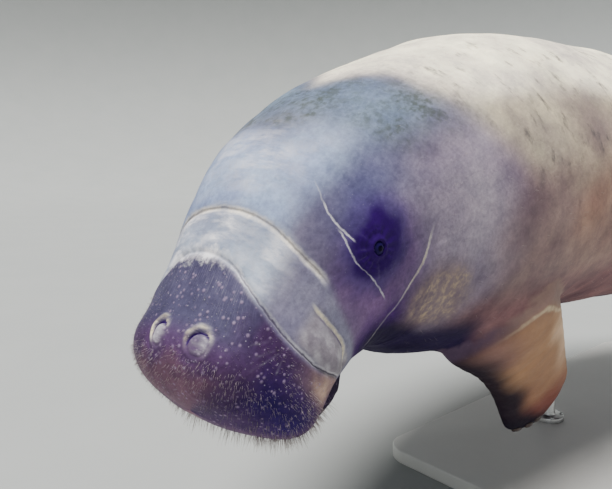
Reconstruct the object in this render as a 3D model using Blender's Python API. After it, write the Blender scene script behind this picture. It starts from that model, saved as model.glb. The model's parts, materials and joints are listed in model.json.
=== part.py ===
"""A manatee at life size, as a slow swimmer that turns its head, on a plain display stand.

Metres, +Z up. The animal faces -Y and its left side is at +X. The origin is the middle of the underside of
the stand's base.

The body is one lofted surface. A point on it is named by s, metres along the spine from the muzzle's front,
and t, degrees round the section: 0 on the back, 90 on the animal's left, 180 on the belly, -90 on its right.
"""

import math

import bmesh
import bpy
import numpy as np
from mathutils import Matrix, Vector

# The body along its spine
LENGTH = 2.92
MUZZLE_FRONT = (0.105, -1.35, 0.42)
MUZZLE_DEPTH = 0.050  # how far back the muzzle's front reaches its full section
MUZZLE_ROUND = 2.4  # 2 is a ball, more is blunter
PADDLE_TIP = 0.26  # length of the paddle's round end

# s, half width, height above the spine, depth below it, fullness (2 is an ellipse), how much wider the belly is
SECTIONS = (
    (0.00, 0.095, 0.078, 0.094, 2.50, 0.16),
    (0.06, 0.102, 0.083, 0.101, 2.50, 0.16),
    (0.12, 0.108, 0.101, 0.113, 2.30, 0.12),
    (0.20, 0.129, 0.142, 0.139, 2.15, 0.06),
    (0.30, 0.161, 0.173, 0.182, 2.10, 0.02),
    (0.45, 0.214, 0.211, 0.239, 2.10, 0.02),
    (0.65, 0.268, 0.245, 0.258, 2.10, 0.03),
    (0.90, 0.305, 0.256, 0.275, 2.10, 0.03),
    (1.25, 0.325, 0.267, 0.289, 2.10, 0.04),
    (1.60, 0.307, 0.259, 0.267, 2.10, 0.04),
    (1.95, 0.230, 0.194, 0.192, 2.05, 0.02),
    (2.25, 0.152, 0.118, 0.112, 2.00, 0.00),
    (2.45, 0.200, 0.066, 0.060, 2.00, 0.00),
    (2.68, 0.290, 0.034, 0.030, 2.00, 0.00),
    (2.92, 0.290, 0.014, 0.014, 2.00, 0.00),
)
# s, and how far the spine there climbs or turns towards the tail, in degrees
CLIMB = (
    (0.00, 45.3),
    (0.10, 40.1),
    (0.22, 27.7),
    (0.40, 7.7),
    (0.60, 8.8),
    (0.85, 1.6),
    (1.20, -0.9),
    (1.60, -5.5),
    (2.05, -6.0),
    (2.40, -3.0),
    (2.92, 4.0),
)
TURN = ((0.0, -11.4), (0.2, -13.9), (0.5, -10.9), (1.0, 0.0), (2.92, 0.0))

# Where the body is parted into its lengths
NECK_START = 0.30
CHEST_START = 0.42
TORSO_START = 0.98
TAIL_START = 1.95
PADDLE_START = 2.36
GAP = 0.0003

# Folds of the head: where each lies along the spine at a few angles from the back
FOLD_MUZZLE = ((0, 0.118), (20, 0.112), (40, 0.097), (60, 0.085), (80, 0.080), (95, 0.083), (118, 0.100), (180, 0.106))
FOLD_BROW = ((0, 0.156), (20, 0.155), (40, 0.151), (60, 0.144), (74, 0.128), (85, 0.121), (112, 0.124), (180, 0.134))
FOLD_EYE = ((0, 0.194), (38, 0.199), (50, 0.188), (64, 0.184), (76, 0.178), (90, 0.188), (180, 0.190))
FOLD_NECK = ((84, 0.290), (92, 0.276), (100, 0.253), (105, 0.233), (110, 0.214), (115, 0.195), (119, 0.186))

# The eye, the nostril and the mouth
EYE_AT = (0.206, 78.0)
EYE_RADIUS = 0.0095
EYE_SUNK = 0.0070
LID_RING = (0.0092, 0.0080)  # along the head, and across it
LID_THICK = (0.0030, 0.0026)
NOSTRIL_AT = (0.040, 14.0)
MUZZLE_TWIST = 8.0  # degrees by which the nostrils sit round to the animal's left
NOSTRIL_RADIUS = 0.0135
JAW_AT = 0.110
JAW_SIZE = (0.078, 0.078, 0.058)
JAW_SUNK = 0.015

# Coarse bristles of the upper lip and the chin
BRISTLES = 64
CHIN_BRISTLES = 16
BRISTLE_LENGTH = (0.007, 0.013)
BRISTLE_RADIUS = 0.0009
BRISTLE_SUNK = 0.0035

# The flippers: where each grows, where it points, and the way from its leading edge to its trailing one
FLIPPERS = {
    "left": {"at": (0.575, 144.0), "aim": (-0.168, 0.757, -0.632), "chord": (0.430, 0.633, 0.644)},
    "right": {"at": (0.575, -138.0), "aim": (-0.360, 0.905, -0.225), "chord": (-0.250, 0.130, 0.960)},
}
FLIPPER_LENGTH = 0.42
FLIPPER_SUNK = 0.07
FLIPPER_BEND = (-0.034, -0.014)  # how far the tip is bent along the chord and towards the outer face
FLIPPER_TIP = 0.78  # share of the length where the round tip starts
# share of the length, half chord, half thickness
FLIPPER_SECTIONS = (
    (0.00, 0.089, 0.042),
    (0.20, 0.089, 0.036),
    (0.45, 0.084, 0.027),
    (0.70, 0.083, 0.019),
    (0.88, 0.077, 0.013),
    (1.00, 0.060, 0.009),
)
NAIL_SIZE = (0.0090, 0.0130, 0.0040)
NAIL_TURNS = (158.0, 128.0, 98.0)  # degrees round the section from the trailing edge over the outer face
NAIL_SHARES = (0.900, 0.940, 0.950)

# The stand
BASE_SIZE = (0.50, 1.30, 0.03)
BASE_CORNER = 0.06
ROD_RADIUS = 0.018
FLANGE_RADIUS = 0.040
FLANGE_HEIGHT = 0.012
ROD_PLACES = {"front": -0.22, "rear": 0.36}
ROD_SHIFT = -0.03  # how far the rods stand to the right of the spine

SKIN = (0.30, 0.27, 0.33)
SPINE_STEPS = 1500


def spline(points, x):
    """Natural cubic curve through the (x, y) points, level past its ends."""
    xs, ys = np.array(points, float).T
    n = len(xs)
    h = np.diff(xs)
    left = np.eye(n)
    right = np.zeros(n)
    for i in range(1, n - 1):
        left[i, i - 1 : i + 2] = h[i - 1], 2 * (h[i - 1] + h[i]), h[i]
        right[i] = 6 * ((ys[i + 1] - ys[i]) / h[i] - (ys[i] - ys[i - 1]) / h[i - 1])
    bend = np.linalg.solve(left, right)
    k = np.clip(np.searchsorted(xs, x) - 1, 0, n - 2)
    d = np.clip(x, xs[0], xs[-1]) - xs[k]
    slope = (ys[k + 1] - ys[k]) / h[k] - h[k] * (2 * bend[k] + bend[k + 1]) / 6
    return ys[k] + slope * d + bend[k] * d**2 / 2 + (bend[k + 1] - bend[k]) * d**3 / (6 * h[k])


def make_spine():
    """The spine's points with the directions up, left and tailwards at each, by adding up its climb and turn."""
    s = np.linspace(-0.02, LENGTH, SPINE_STEPS)
    climb = np.radians(spline(CLIMB, s))
    turn = np.radians(spline(TURN, s))
    back = np.stack([np.sin(turn) * np.cos(climb), np.cos(turn) * np.cos(climb), np.sin(climb)], -1)
    up = np.stack([-np.sin(turn) * np.sin(climb), -np.cos(turn) * np.sin(climb), np.cos(climb)], -1)
    steps = (back[1:] + back[:-1]) / 2 * np.diff(s)[:, None]
    place = np.concatenate([[[0, 0, 0]], np.cumsum(steps, 0)])
    place += MUZZLE_FRONT - at(place, 0.0, s)
    return s, {"place": place, "up": up, "left": np.cross(up, -back), "back": back}


def at(table, s, steps):
    """The table's vectors at s."""
    return np.stack([np.interp(s, steps, table[:, i]) for i in range(3)], -1)


SPINE_S, SPINE = make_spine()


def spine(name, s):
    """The spine's place or one of its directions at s."""
    return at(SPINE[name], s, SPINE_S)


def section(column, s):
    """One column of the table of sections at s."""
    return spline([(row[0], row[column]) for row in SECTIONS], s)


def signed_power(x, power):
    """The power of x's size, with x's sign."""
    return np.sign(x) * np.abs(x) ** power


def plain(s, t):
    """Points of the body without its folds: superellipse sections carried along the spine."""
    s, t = np.broadcast_arrays(np.asarray(s, float), np.asarray(t, float))
    front = np.clip(1 - s / MUZZLE_DEPTH, 0, 1)
    tip = np.clip(1 - (LENGTH - s) / PADDLE_TIP, 0, 1)
    fill = (1 - front**MUZZLE_ROUND) ** (1 / MUZZLE_ROUND) * np.sqrt(1 - tip**2)
    power = 2 / section(4, s)
    across = signed_power(np.sin(np.radians(t)), power)
    rise = signed_power(np.cos(np.radians(t)), power)
    x = section(1, s) * across * (1 - section(5, s) * rise) * fill
    height = np.where(rise > 0, section(2, s), section(3, s))
    z = height * rise * np.where(s > TAIL_START, fill**0.6, fill)
    return spine("place", s) + x[..., None] * spine("left", s) + z[..., None] * spine("up", s)


def outward(s, t):
    """The plain body's unit normal: across the steps along s and round t."""
    step = 0.001
    s = np.clip(s, step, LENGTH - step)
    along = plain(s + step / 2, t) - plain(s - step / 2, t)
    around = plain(s, t + 0.1) - plain(s, t - 0.1)
    normal = np.cross(around, along)
    return normal / np.linalg.norm(normal, axis=-1, keepdims=True)


def fold(distance, depth, width):
    """A groove with a low swelling on either side of it."""
    near = (distance / width) ** 2
    return depth * (0.45 * np.exp(-near / 9) - 1.45 * np.exp(-near))


def mound(s, t, place, spread, height):
    """A smooth swelling round one place, on both sides of the body."""
    return height * np.exp(-(((s - place[0]) / spread[0]) ** 2) - ((t - place[1]) / spread[1]) ** 2)


def between(t, low, high, soft):
    """1 between two angles, falling to 0 over soft degrees outside them."""
    return np.clip((t - low) / soft + 1, 0, 1) * np.clip((high - t) / soft + 1, 0, 1)


def relief(s, t):
    """How far the folds, lip pads and brows stand out from the plain body."""
    t = np.abs((np.asarray(t, float) + 180) % 360 - 180)
    out = fold(s - spline(FOLD_MUZZLE, t), 0.0060, 0.0045) * between(t, 0, 116, 10)
    out += fold(s - spline(FOLD_BROW, t), 0.0040, 0.0042) * between(t, 0, 110, 12)
    out += fold(s - spline(FOLD_EYE, t), 0.0025, 0.0040) * between(t, 36, 92, 8)
    neck = np.interp(t, *np.array(FOLD_NECK).T)
    out += fold(s - neck, 0.0055, 0.0100) * between(t, 84, 116, 6)
    out += mound(s, t, (0.045, 124), (0.036, 24), 0.0035)
    out += mound(s, t, (0.103, 102), (0.013, 18), 0.006)
    out += mound(s, t, (0.205, 74), (0.040, 20), 0.008)
    return out * (s < NECK_START)


def surface(s, t, outset=0.0):
    """Points of the finished body, or of one that is larger all round by outset."""
    s, t = np.broadcast_arrays(np.asarray(s, float), np.asarray(t, float))
    return plain(s, t) + outward(s, t) * (relief(s, t) + outset)[..., None]


def new_object(name, vertices, faces, color, collection):
    """A named object with its own material, its faces turned outwards."""
    mesh = bpy.data.meshes.new(name)
    mesh.from_pydata([tuple(v) for v in vertices], [], faces)
    obj = bpy.data.objects.new(name, mesh)
    collection.objects.link(obj)
    finish(obj, color)
    return obj


def finish(obj, color, roughness=0.55, metallic=0.0):
    """Turns the faces outwards, shades them smooth and gives the object its own material."""
    bm = bmesh.new()
    bm.from_mesh(obj.data)
    bmesh.ops.recalc_face_normals(bm, faces=bm.faces)
    bm.to_mesh(obj.data)
    bm.free()
    obj.data.shade_smooth()
    obj.data.set_sharp_from_angle(angle=math.radians(35))
    material = bpy.data.materials.new(obj.name)
    material.use_nodes = True
    shader = material.node_tree.nodes["Principled BSDF"]
    shader.inputs["Base Color"].default_value = (*color, 1)
    shader.inputs["Roughness"].default_value = roughness
    shader.inputs["Metallic"].default_value = metallic
    obj.data.materials.clear()
    obj.data.materials.append(material)


def loft(rows, start_is_point, end_is_point):
    """Vertices and triangles of a closed loft; a row is an array of points, and an end row may be one point."""
    count = rows.shape[1]
    vertices = []
    ring = []
    last = len(rows) - 1
    for i, row in enumerate(rows):
        point = (i == 0 and start_is_point) or (i == last and end_is_point)
        first = len(vertices)
        vertices.extend([row.mean(0)] if point else row)
        ring.append([first] * count if point else list(range(first, first + count)))
    faces = []
    for a, b in zip(ring, ring[1:]):
        for j in range(count):
            k = (j + 1) % count
            faces += [c for c in ((a[j], a[k], b[k]), (a[j], b[k], b[j])) if len(set(c)) == 3]
    if not start_is_point:
        faces.append(ring[0])
    if not end_is_point:
        faces.append(ring[-1])
    return vertices, faces


def length_of_body(rows, columns, outset=0.0):
    """Vertices and faces of the body between its first and last row; rows are values of s, or arrays over t."""
    t = np.arange(columns) * 360 / columns
    s = np.array([np.broadcast_to(row, t.shape) for row in rows])
    points = surface(s, t[None, :], outset)
    return loft(points, s[0, 0] <= 0, s[-1, 0] >= LENGTH)


def head_rows(t):
    """Rows of the head: close together along its folds, which they follow round."""
    blunt = np.linspace(0, math.pi / 2, 9)[:-1]
    rows = [MUZZLE_DEPTH * (1 - math.cos(a) ** (2 / MUZZLE_ROUND)) for a in blunt]
    angle = np.abs((t + 180) % 360 - 180)
    muzzle = spline(FOLD_MUZZLE, angle)
    brow = spline(FOLD_BROW, angle)
    eye = spline(FOLD_EYE, angle)
    rows += [MUZZLE_DEPTH + (muzzle - MUZZLE_DEPTH) * share for share in (0.0, 0.45)]
    rows += [muzzle + d for d in (-0.0085, -0.0035, 0.0, 0.0035, 0.0085)]
    rows += [muzzle + (brow - muzzle) * 0.5]
    rows += [brow + d for d in (-0.0075, -0.0030, 0.0, 0.0030, 0.0085)]
    rows += [brow + (eye - brow) * 0.55]
    rows += [eye + d for d in (-0.0065, 0.0, 0.0065)]
    rows += [eye + (NECK_START - eye) * share for share in (0.22, 0.38, 0.54, 0.70, 0.85)]
    return rows + [NECK_START - GAP / 2]


def make_lengths(collection):
    """The body's lengths from head to tail paddle, each closed and a gap away from the next."""
    columns = {"head": 64, "neck": 48, "chest": 48, "torso": 44, "tail_stock": 40, "tail_paddle": 40}
    tip = LENGTH - PADDLE_TIP
    round_end = [tip + PADDLE_TIP * math.sin(a) for a in np.linspace(0, math.pi / 2, 9)]
    rows = {
        "head": head_rows(np.arange(columns["head"]) * 360 / columns["head"]),
        "neck": np.linspace(NECK_START + GAP / 2, CHEST_START - GAP / 2, 6),
        "chest": np.linspace(CHEST_START + GAP / 2, TORSO_START - GAP / 2, 12),
        "torso": np.linspace(TORSO_START + GAP / 2, TAIL_START - GAP / 2, 14),
        "tail_stock": np.linspace(TAIL_START + GAP / 2, PADDLE_START - GAP / 2, 9),
        "tail_paddle": [*np.linspace(PADDLE_START + GAP / 2, tip, 7), *round_end[1:]],
    }
    made = {}
    for name, count in columns.items():
        made[name] = new_object(name, *length_of_body(rows[name], count), SKIN, collection)
    grown = {
        name: length_of_body(rows[name], columns[name], GAP) for name in ("head", "chest", "torso")
    }
    return made, grown


def flipper_points(word, turns, shares, outset=0.0):
    """Points of a flipper: ellipses on a bent axis; turns go round the section, shares run root to tip."""
    side = 1 if word == "left" else -1
    aim = np.array(FLIPPERS[word]["aim"])
    aim = aim / np.linalg.norm(aim)
    chord = np.array(FLIPPERS[word]["chord"])
    chord = chord - chord.dot(aim) * aim
    chord = chord / np.linalg.norm(chord)
    face = side * np.cross(aim, chord)
    root = surface(*FLIPPERS[word]["at"]) - aim * FLIPPER_SUNK
    half_chord = spline([(row[0], row[1]) for row in FLIPPER_SECTIONS], shares) + outset
    half_thick = spline([(row[0], row[2]) for row in FLIPPER_SECTIONS], shares) + outset
    tip = np.clip((shares - FLIPPER_TIP) / (1 - FLIPPER_TIP), 0, 1)
    fill = np.sqrt(1 - tip**2)
    axis = root + (shares[:, None] * (FLIPPER_LENGTH + FLIPPER_SUNK) + outset) * aim
    axis = axis + shares[:, None] ** 2 * (FLIPPER_BEND[0] * chord + FLIPPER_BEND[1] * face)
    wide = (half_chord * fill)[:, None, None] * np.cos(turns)[None, :, None] * chord
    thick = (half_thick * fill**0.7)[:, None, None] * np.sin(turns)[None, :, None] * face
    return axis[:, None, :] + wide + thick


def flipper_mesh(word, outset=0.0):
    """Vertices and faces of one closed flipper, its root well inside the chest."""
    turns = np.arange(24) * math.tau / 24
    round_tip = FLIPPER_TIP + (1 - FLIPPER_TIP) * np.sin(np.linspace(0, math.pi / 2, 6))
    shares = np.array([*np.linspace(0, FLIPPER_TIP, 11), *round_tip[1:]])
    return loft(flipper_points(word, turns, shares, outset), False, True)


def keep_largest(obj):
    """Keeps only the object's largest closed surface."""
    bm = bmesh.new()
    bm.from_mesh(obj.data)
    left = set(bm.faces)
    shells = []
    while left:
        stack = [left.pop()]
        shell = list(stack)
        while stack:
            for edge in stack.pop().edges:
                fresh = [face for face in edge.link_faces if face in left]
                left.difference_update(fresh)
                stack += fresh
                shell += fresh
        shells.append(shell)
    shells.sort(key=len)
    for shell in shells[:-1]:
        bmesh.ops.delete(bm, geom=shell, context="FACES")
    bm.to_mesh(obj.data)
    bm.free()


def combine(obj, tools, operation):
    """Joins tools to the object or cuts them out of it, and removes the tools."""
    group = bpy.data.collections.new("cutters")
    bpy.context.scene.collection.children.link(group)
    for tool in tools:
        group.objects.link(tool)
    change = obj.modifiers.new("combine", "BOOLEAN")
    change.operation = operation
    change.operand_type = "COLLECTION"
    change.collection = group
    change.solver = "MANIFOLD"
    bpy.context.view_layer.update()
    result = bpy.data.meshes.new_from_object(obj.evaluated_get(bpy.context.evaluated_depsgraph_get()))
    obj.modifiers.clear()
    obj.data = result
    for tool in tools:
        bpy.data.objects.remove(tool)
    bpy.data.collections.remove(group)
    keep_largest(obj)


def tool_from(vertices, faces):
    """A closed mesh that is only used to join or cut, its faces turned outwards."""
    mesh = bpy.data.meshes.new("tool")
    mesh.from_pydata([tuple(v) for v in vertices], [], faces)
    bm = bmesh.new()
    bm.from_mesh(mesh)
    bmesh.ops.recalc_face_normals(bm, faces=bm.faces)
    bm.to_mesh(mesh)
    bm.free()
    return bpy.data.objects.new("tool", mesh)


def placed(bm, matrix):
    """A closed bmesh as a loose object, carried to its place by the matrix."""
    bmesh.ops.transform(bm, matrix=matrix, verts=bm.verts)
    mesh = bpy.data.meshes.new("tool")
    bm.to_mesh(mesh)
    bm.free()
    return bpy.data.objects.new("tool", mesh)


def ball(matrix, size, turns=14, rings=9):
    """A ball stretched to its three half sizes and carried to its place."""
    bm = bmesh.new()
    bmesh.ops.create_uvsphere(bm, u_segments=turns, v_segments=rings, radius=1)
    return placed(bm, matrix @ Matrix.Diagonal((*size, 1)))


def ring(matrix, radius, thick, turns=20, sides=8):
    """A round ring that lies in its own XY plane, carried to its place."""
    around = np.arange(turns) * math.tau / turns
    small = np.arange(sides) * math.tau / sides
    reach = radius[0] + 0 * around[:, None] + thick[0] * np.cos(small)
    x = reach * np.cos(around)[:, None]
    y = (reach - radius[0] + radius[1]) * np.sin(around)[:, None]
    z = thick[1] * np.sin(small) + 0 * x
    points = np.stack([x, y, z], -1)
    index = np.arange(turns * sides).reshape(turns, sides)
    faces = []
    for i in range(turns):
        for j in range(sides):
            k, m = (i + 1) % turns, (j + 1) % sides
            faces.append((int(index[i, j]), int(index[k, j]), int(index[k, m]), int(index[i, m])))
    tool = tool_from(points.reshape(-1, 3), faces)
    tool.data.transform(matrix)
    return tool


def stance(s, t, sunk=0.0):
    """A place on the body: Z out of it, Y forwards over it, X across it."""
    place = Vector(surface(s, t)[()])
    out = Vector(outward(s, t)[()]).normalized()
    ahead = Vector(-spine("back", s))
    ahead = (ahead - ahead.dot(out) * out).normalized()
    across = ahead.cross(out)
    frame = Matrix((across, ahead, out)).transposed().to_4x4()
    frame.translation = place - out * sunk
    return frame


def make_eyes(head, collection):
    """Two eyeballs in sockets, each inside a ring of lids joined to the head."""
    s, t = EYE_AT
    lids = [ring(stance(s, side * t), LID_RING, LID_THICK) for side in (1, -1)]
    combine(head, lids, "UNION")
    sockets = [ball(stance(s, side * t, EYE_SUNK), [EYE_RADIUS + GAP] * 3) for side in (1, -1)]
    combine(head, sockets, "DIFFERENCE")
    for name, side in (("eye_left", 1), ("eye_right", -1)):
        eye = ball(stance(s, side * t, EYE_SUNK), [EYE_RADIUS] * 3)
        eye.name = name
        collection.objects.link(eye)
        finish(eye, (0.03, 0.025, 0.03), roughness=0.12)


def make_nostrils(head):
    """Each nostril is a low round rim, a pocket inside it and the plug that shuts most of the pocket."""
    places = [stance(NOSTRIL_AT[0], MUZZLE_TWIST + side * NOSTRIL_AT[1]) for side in (1, -1)]
    r = NOSTRIL_RADIUS
    combine(head, [ring(p, (r, r), (0.0032, 0.0018), sides=6) for p in places], "UNION")
    combine(head, [ball(p, (r * 0.80, r * 0.80, 0.006)) for p in places], "DIFFERENCE")
    low = Matrix.Translation((0, 0.0030, -0.0048))
    combine(head, [ball(p @ low, (r * 0.64, r * 0.64, 0.0065), 14, 8) for p in places], "UNION")


def bristle(root, out, length):
    """A thin four-sided spine, bent a little downwards, its root sunk in the skin."""
    across = np.cross(out, (0.0, 0.0, 1.0))
    across /= np.linalg.norm(across)
    other = np.cross(out, across)
    corners = [np.cos(a) * across + np.sin(a) * other for a in np.arange(4) * math.tau / 4]
    middle = root + out * length * 0.55
    tip = root + out * length + np.array((0, 0, -0.22)) * length
    foot = root - out * BRISTLE_SUNK
    points = [foot + c * BRISTLE_RADIUS for c in corners]
    points += [middle + c * BRISTLE_RADIUS * 0.7 for c in corners]
    faces = [(0, 1, 2, 3)]
    for i in range(4):
        k = (i + 1) % 4
        faces += [(i, k, k + 4, i + 4), (i + 4, k + 4, 8)]
    return tool_from([*points, tip], faces)


def make_lip_bristles(head):
    """Bristles spread evenly over the lower front of the upper lip and down both of its pads."""
    draw = np.random.default_rng(7)
    tools = []
    for i in range(BRISTLES):
        side = 1 if i % 2 else -1
        share = (i + 0.5) / BRISTLES
        t = side * (100 + 74 * share + draw.uniform(-2, 2))
        s = 0.010 + 0.036 * ((i * 0.618) % 1) * (1.3 - share)
        out = outward(s, t) + np.array((0, 0, -0.25))
        out /= np.linalg.norm(out)
        tools.append(bristle(surface(s, t), out, draw.uniform(*BRISTLE_LENGTH)))
    combine(head, tools, "UNION")


def make_jaw(grown_head, collection):
    """The lower jaw and lip: a blunt pad tucked under the muzzle, shaped to the head above it, with bristles."""
    back = Vector(spine("back", JAW_AT))
    up = Vector(spine("up", JAW_AT))
    left = Vector(spine("left", JAW_AT))
    frame = Matrix((left, back, up)).transposed().to_4x4()
    frame.translation = Vector(plain(JAW_AT, 180.0)[()]) + up * JAW_SUNK
    jaw = ball(frame, JAW_SIZE, 24, 14)
    jaw.name = "lower_jaw"
    collection.objects.link(jaw)
    combine(jaw, [tool_from(*grown_head)], "DIFFERENCE")
    draw = np.random.default_rng(11)
    tools = []
    for i in range(CHIN_BRISTLES):
        round_chin = math.radians(-62 + 124 * (i + 0.5) / CHIN_BRISTLES)
        drop = math.radians(draw.uniform(38, 62))
        level = math.cos(drop)
        out = Vector((math.sin(round_chin) * level, -math.cos(round_chin) * level, -math.sin(drop)))
        root = frame @ Vector([size * part for size, part in zip(JAW_SIZE, out)])
        aim = (frame.to_3x3() @ out).normalized()
        tools.append(bristle(np.array(root), np.array(aim), draw.uniform(*BRISTLE_LENGTH)))
    combine(jaw, tools, "UNION")
    finish(jaw, SKIN)


def make_flippers(grown_chest, collection):
    """Both flippers, cut to the chest that they grow from, with the nails along their tips."""
    for word in FLIPPERS:
        flipper = new_object(f"flipper_{word}", *flipper_mesh(word), SKIN, collection)
        combine(flipper, [tool_from(*grown_chest)], "DIFFERENCE")
        finish(flipper, SKIN)
        for i, (turn, share) in enumerate(zip(NAIL_TURNS, NAIL_SHARES)):
            make_nail(f"nail_{word}_{i + 1}", word, math.radians(turn), share, collection)


def make_nail(name, word, turn, share, collection):
    """A nail on the outer face near the flipper's tip, shaped to the skin under it."""
    turns = np.array([turn, turn + 0.05])
    near = flipper_points(word, turns, np.array([share, share + 0.01]))
    here = Vector(near[0, 0])
    along = (Vector(near[1, 0]) - here).normalized()
    out = along.cross(Vector(near[0, 1]) - here).normalized()
    middle = flipper_points(word, np.array([0.0, math.pi]), np.array([share]))[0].mean(0)
    if out.dot(here - Vector(middle)) < 0:
        out = -out
    frame = Matrix((along.cross(out), along, out)).transposed().to_4x4()
    frame.translation = here
    nail = ball(frame, NAIL_SIZE, 12, 8)
    nail.name = name
    collection.objects.link(nail)
    combine(nail, [tool_from(*flipper_mesh(word, GAP))], "DIFFERENCE")
    finish(nail, (0.55, 0.48, 0.40), roughness=0.4)


def make_stand(grown_torso, collection):
    """A flat base with rounded corners, and two rods with flanges that end at the belly."""
    bm = bmesh.new()
    bmesh.ops.create_cube(bm, size=1)
    base = placed(bm, Matrix.Translation((0, 0, BASE_SIZE[2] / 2)) @ Matrix.Diagonal((*BASE_SIZE, 1)))
    base.name = "stand_base"
    collection.objects.link(base)
    bm = bmesh.new()
    bm.from_mesh(base.data)
    upright = [e for e in bm.edges if abs(e.verts[0].co.z - e.verts[1].co.z) > BASE_SIZE[2] / 2]
    bmesh.ops.bevel(bm, geom=upright, offset=BASE_CORNER, segments=6, profile=0.5, affect="EDGES")
    bm.to_mesh(base.data)
    bm.free()
    finish(base, (0.80, 0.79, 0.76), roughness=0.5)
    for word, y in ROD_PLACES.items():
        s = float(np.interp(y, SPINE["place"][:, 1], SPINE_S))
        x, _, top = spine("place", s)
        x += ROD_SHIFT
        bottom = BASE_SIZE[2] + GAP
        rod = upright_cylinder(ROD_RADIUS, x, y, bottom, top)
        rod.name = f"stand_rod_{word}"
        collection.objects.link(rod)
        flange = upright_cylinder(FLANGE_RADIUS, x, y, bottom, bottom + FLANGE_HEIGHT)
        combine(rod, [flange], "UNION")
        combine(rod, [tool_from(*grown_torso)], "DIFFERENCE")
        finish(rod, (0.60, 0.61, 0.62), roughness=0.3, metallic=1.0)


def upright_cylinder(radius, x, y, bottom, top):
    """A closed upright cylinder between two heights."""
    bm = bmesh.new()
    bmesh.ops.create_cone(bm, cap_ends=True, segments=32, radius1=radius, radius2=radius, depth=top - bottom)
    return placed(bm, Matrix.Translation((x, y, (top + bottom) / 2)))


def main():
    """Builds every part in one collection."""
    for obj in list(bpy.data.objects):
        bpy.data.objects.remove(obj)
    collection = bpy.data.collections.new("manatee")
    bpy.context.scene.collection.children.link(collection)
    made, grown = make_lengths(collection)
    make_eyes(made["head"], collection)
    make_nostrils(made["head"])
    make_lip_bristles(made["head"])
    finish(made["head"], SKIN)
    make_jaw(grown["head"], collection)
    make_flippers(grown["chest"], collection)
    make_stand(grown["torso"], collection)


main()
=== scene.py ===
"""Looks of the manatee: one skin over its nodes of flesh, with eyes, nails, bristles, hairs and the stand.

Metres, +Z up; the animal faces -Y and its left side is at +X. A place on the body is named by s, metres along
the spine from the muzzle's front, and t, degrees round the section from the back towards the animal's left.
"""

import json
import math

import bmesh
import bpy
import numpy as np
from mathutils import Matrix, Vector

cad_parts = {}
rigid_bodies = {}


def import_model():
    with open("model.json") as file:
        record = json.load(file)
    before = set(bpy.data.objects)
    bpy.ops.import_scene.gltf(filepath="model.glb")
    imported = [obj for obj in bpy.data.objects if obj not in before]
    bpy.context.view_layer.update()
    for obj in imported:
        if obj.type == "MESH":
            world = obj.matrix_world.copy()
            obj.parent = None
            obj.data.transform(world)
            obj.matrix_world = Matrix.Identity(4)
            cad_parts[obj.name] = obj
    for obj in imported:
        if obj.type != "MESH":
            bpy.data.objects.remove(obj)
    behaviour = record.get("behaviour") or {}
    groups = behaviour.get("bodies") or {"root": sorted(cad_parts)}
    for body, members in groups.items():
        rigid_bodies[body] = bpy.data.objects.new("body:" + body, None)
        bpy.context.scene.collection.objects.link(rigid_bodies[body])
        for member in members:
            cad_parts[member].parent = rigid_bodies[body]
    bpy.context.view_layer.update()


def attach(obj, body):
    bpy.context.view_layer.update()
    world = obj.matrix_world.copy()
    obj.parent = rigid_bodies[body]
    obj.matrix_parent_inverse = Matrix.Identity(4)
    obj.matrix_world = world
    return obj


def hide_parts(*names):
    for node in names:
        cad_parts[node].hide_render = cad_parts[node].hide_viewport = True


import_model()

# The body, as its solids have it
LENGTH = 2.92
MUZZLE_FRONT = (0.105, -1.35, 0.42)
MUZZLE_DEPTH = 0.050
MUZZLE_ROUND = 2.4
PADDLE_TIP = 0.26
TAIL_START = 1.95
NECK_START = 0.30
# s, half width, height above the spine, depth below it, fullness, how much wider the belly is
WIDTH, RISE, DROP, FULLNESS, BELLY = range(1, 6)
SECTIONS = (
    (0.00, 0.095, 0.078, 0.094, 2.50, 0.16),
    (0.06, 0.102, 0.083, 0.101, 2.50, 0.16),
    (0.12, 0.108, 0.101, 0.113, 2.30, 0.12),
    (0.20, 0.129, 0.142, 0.139, 2.15, 0.06),
    (0.30, 0.161, 0.173, 0.182, 2.10, 0.02),
    (0.45, 0.214, 0.211, 0.239, 2.10, 0.02),
    (0.65, 0.268, 0.245, 0.258, 2.10, 0.03),
    (0.90, 0.305, 0.256, 0.275, 2.10, 0.03),
    (1.25, 0.325, 0.267, 0.289, 2.10, 0.04),
    (1.60, 0.307, 0.259, 0.267, 2.10, 0.04),
    (1.95, 0.230, 0.194, 0.192, 2.05, 0.02),
    (2.25, 0.152, 0.118, 0.112, 2.00, 0.00),
    (2.45, 0.200, 0.066, 0.060, 2.00, 0.00),
    (2.68, 0.290, 0.034, 0.030, 2.00, 0.00),
    (2.92, 0.290, 0.014, 0.014, 2.00, 0.00),
)
# The spine's climb and turn in degrees at a few places along it
CLIMB = (
    (0.00, 45.3), (0.10, 40.1), (0.22, 27.7), (0.40, 7.7), (0.60, 8.8), (0.85, 1.6),
    (1.20, -0.9), (1.60, -5.5), (2.05, -6.0), (2.40, -3.0), (2.92, 4.0),
)
TURN = ((0.0, -11.4), (0.2, -13.9), (0.5, -10.9), (1.0, 0.0), (2.92, 0.0))

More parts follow.
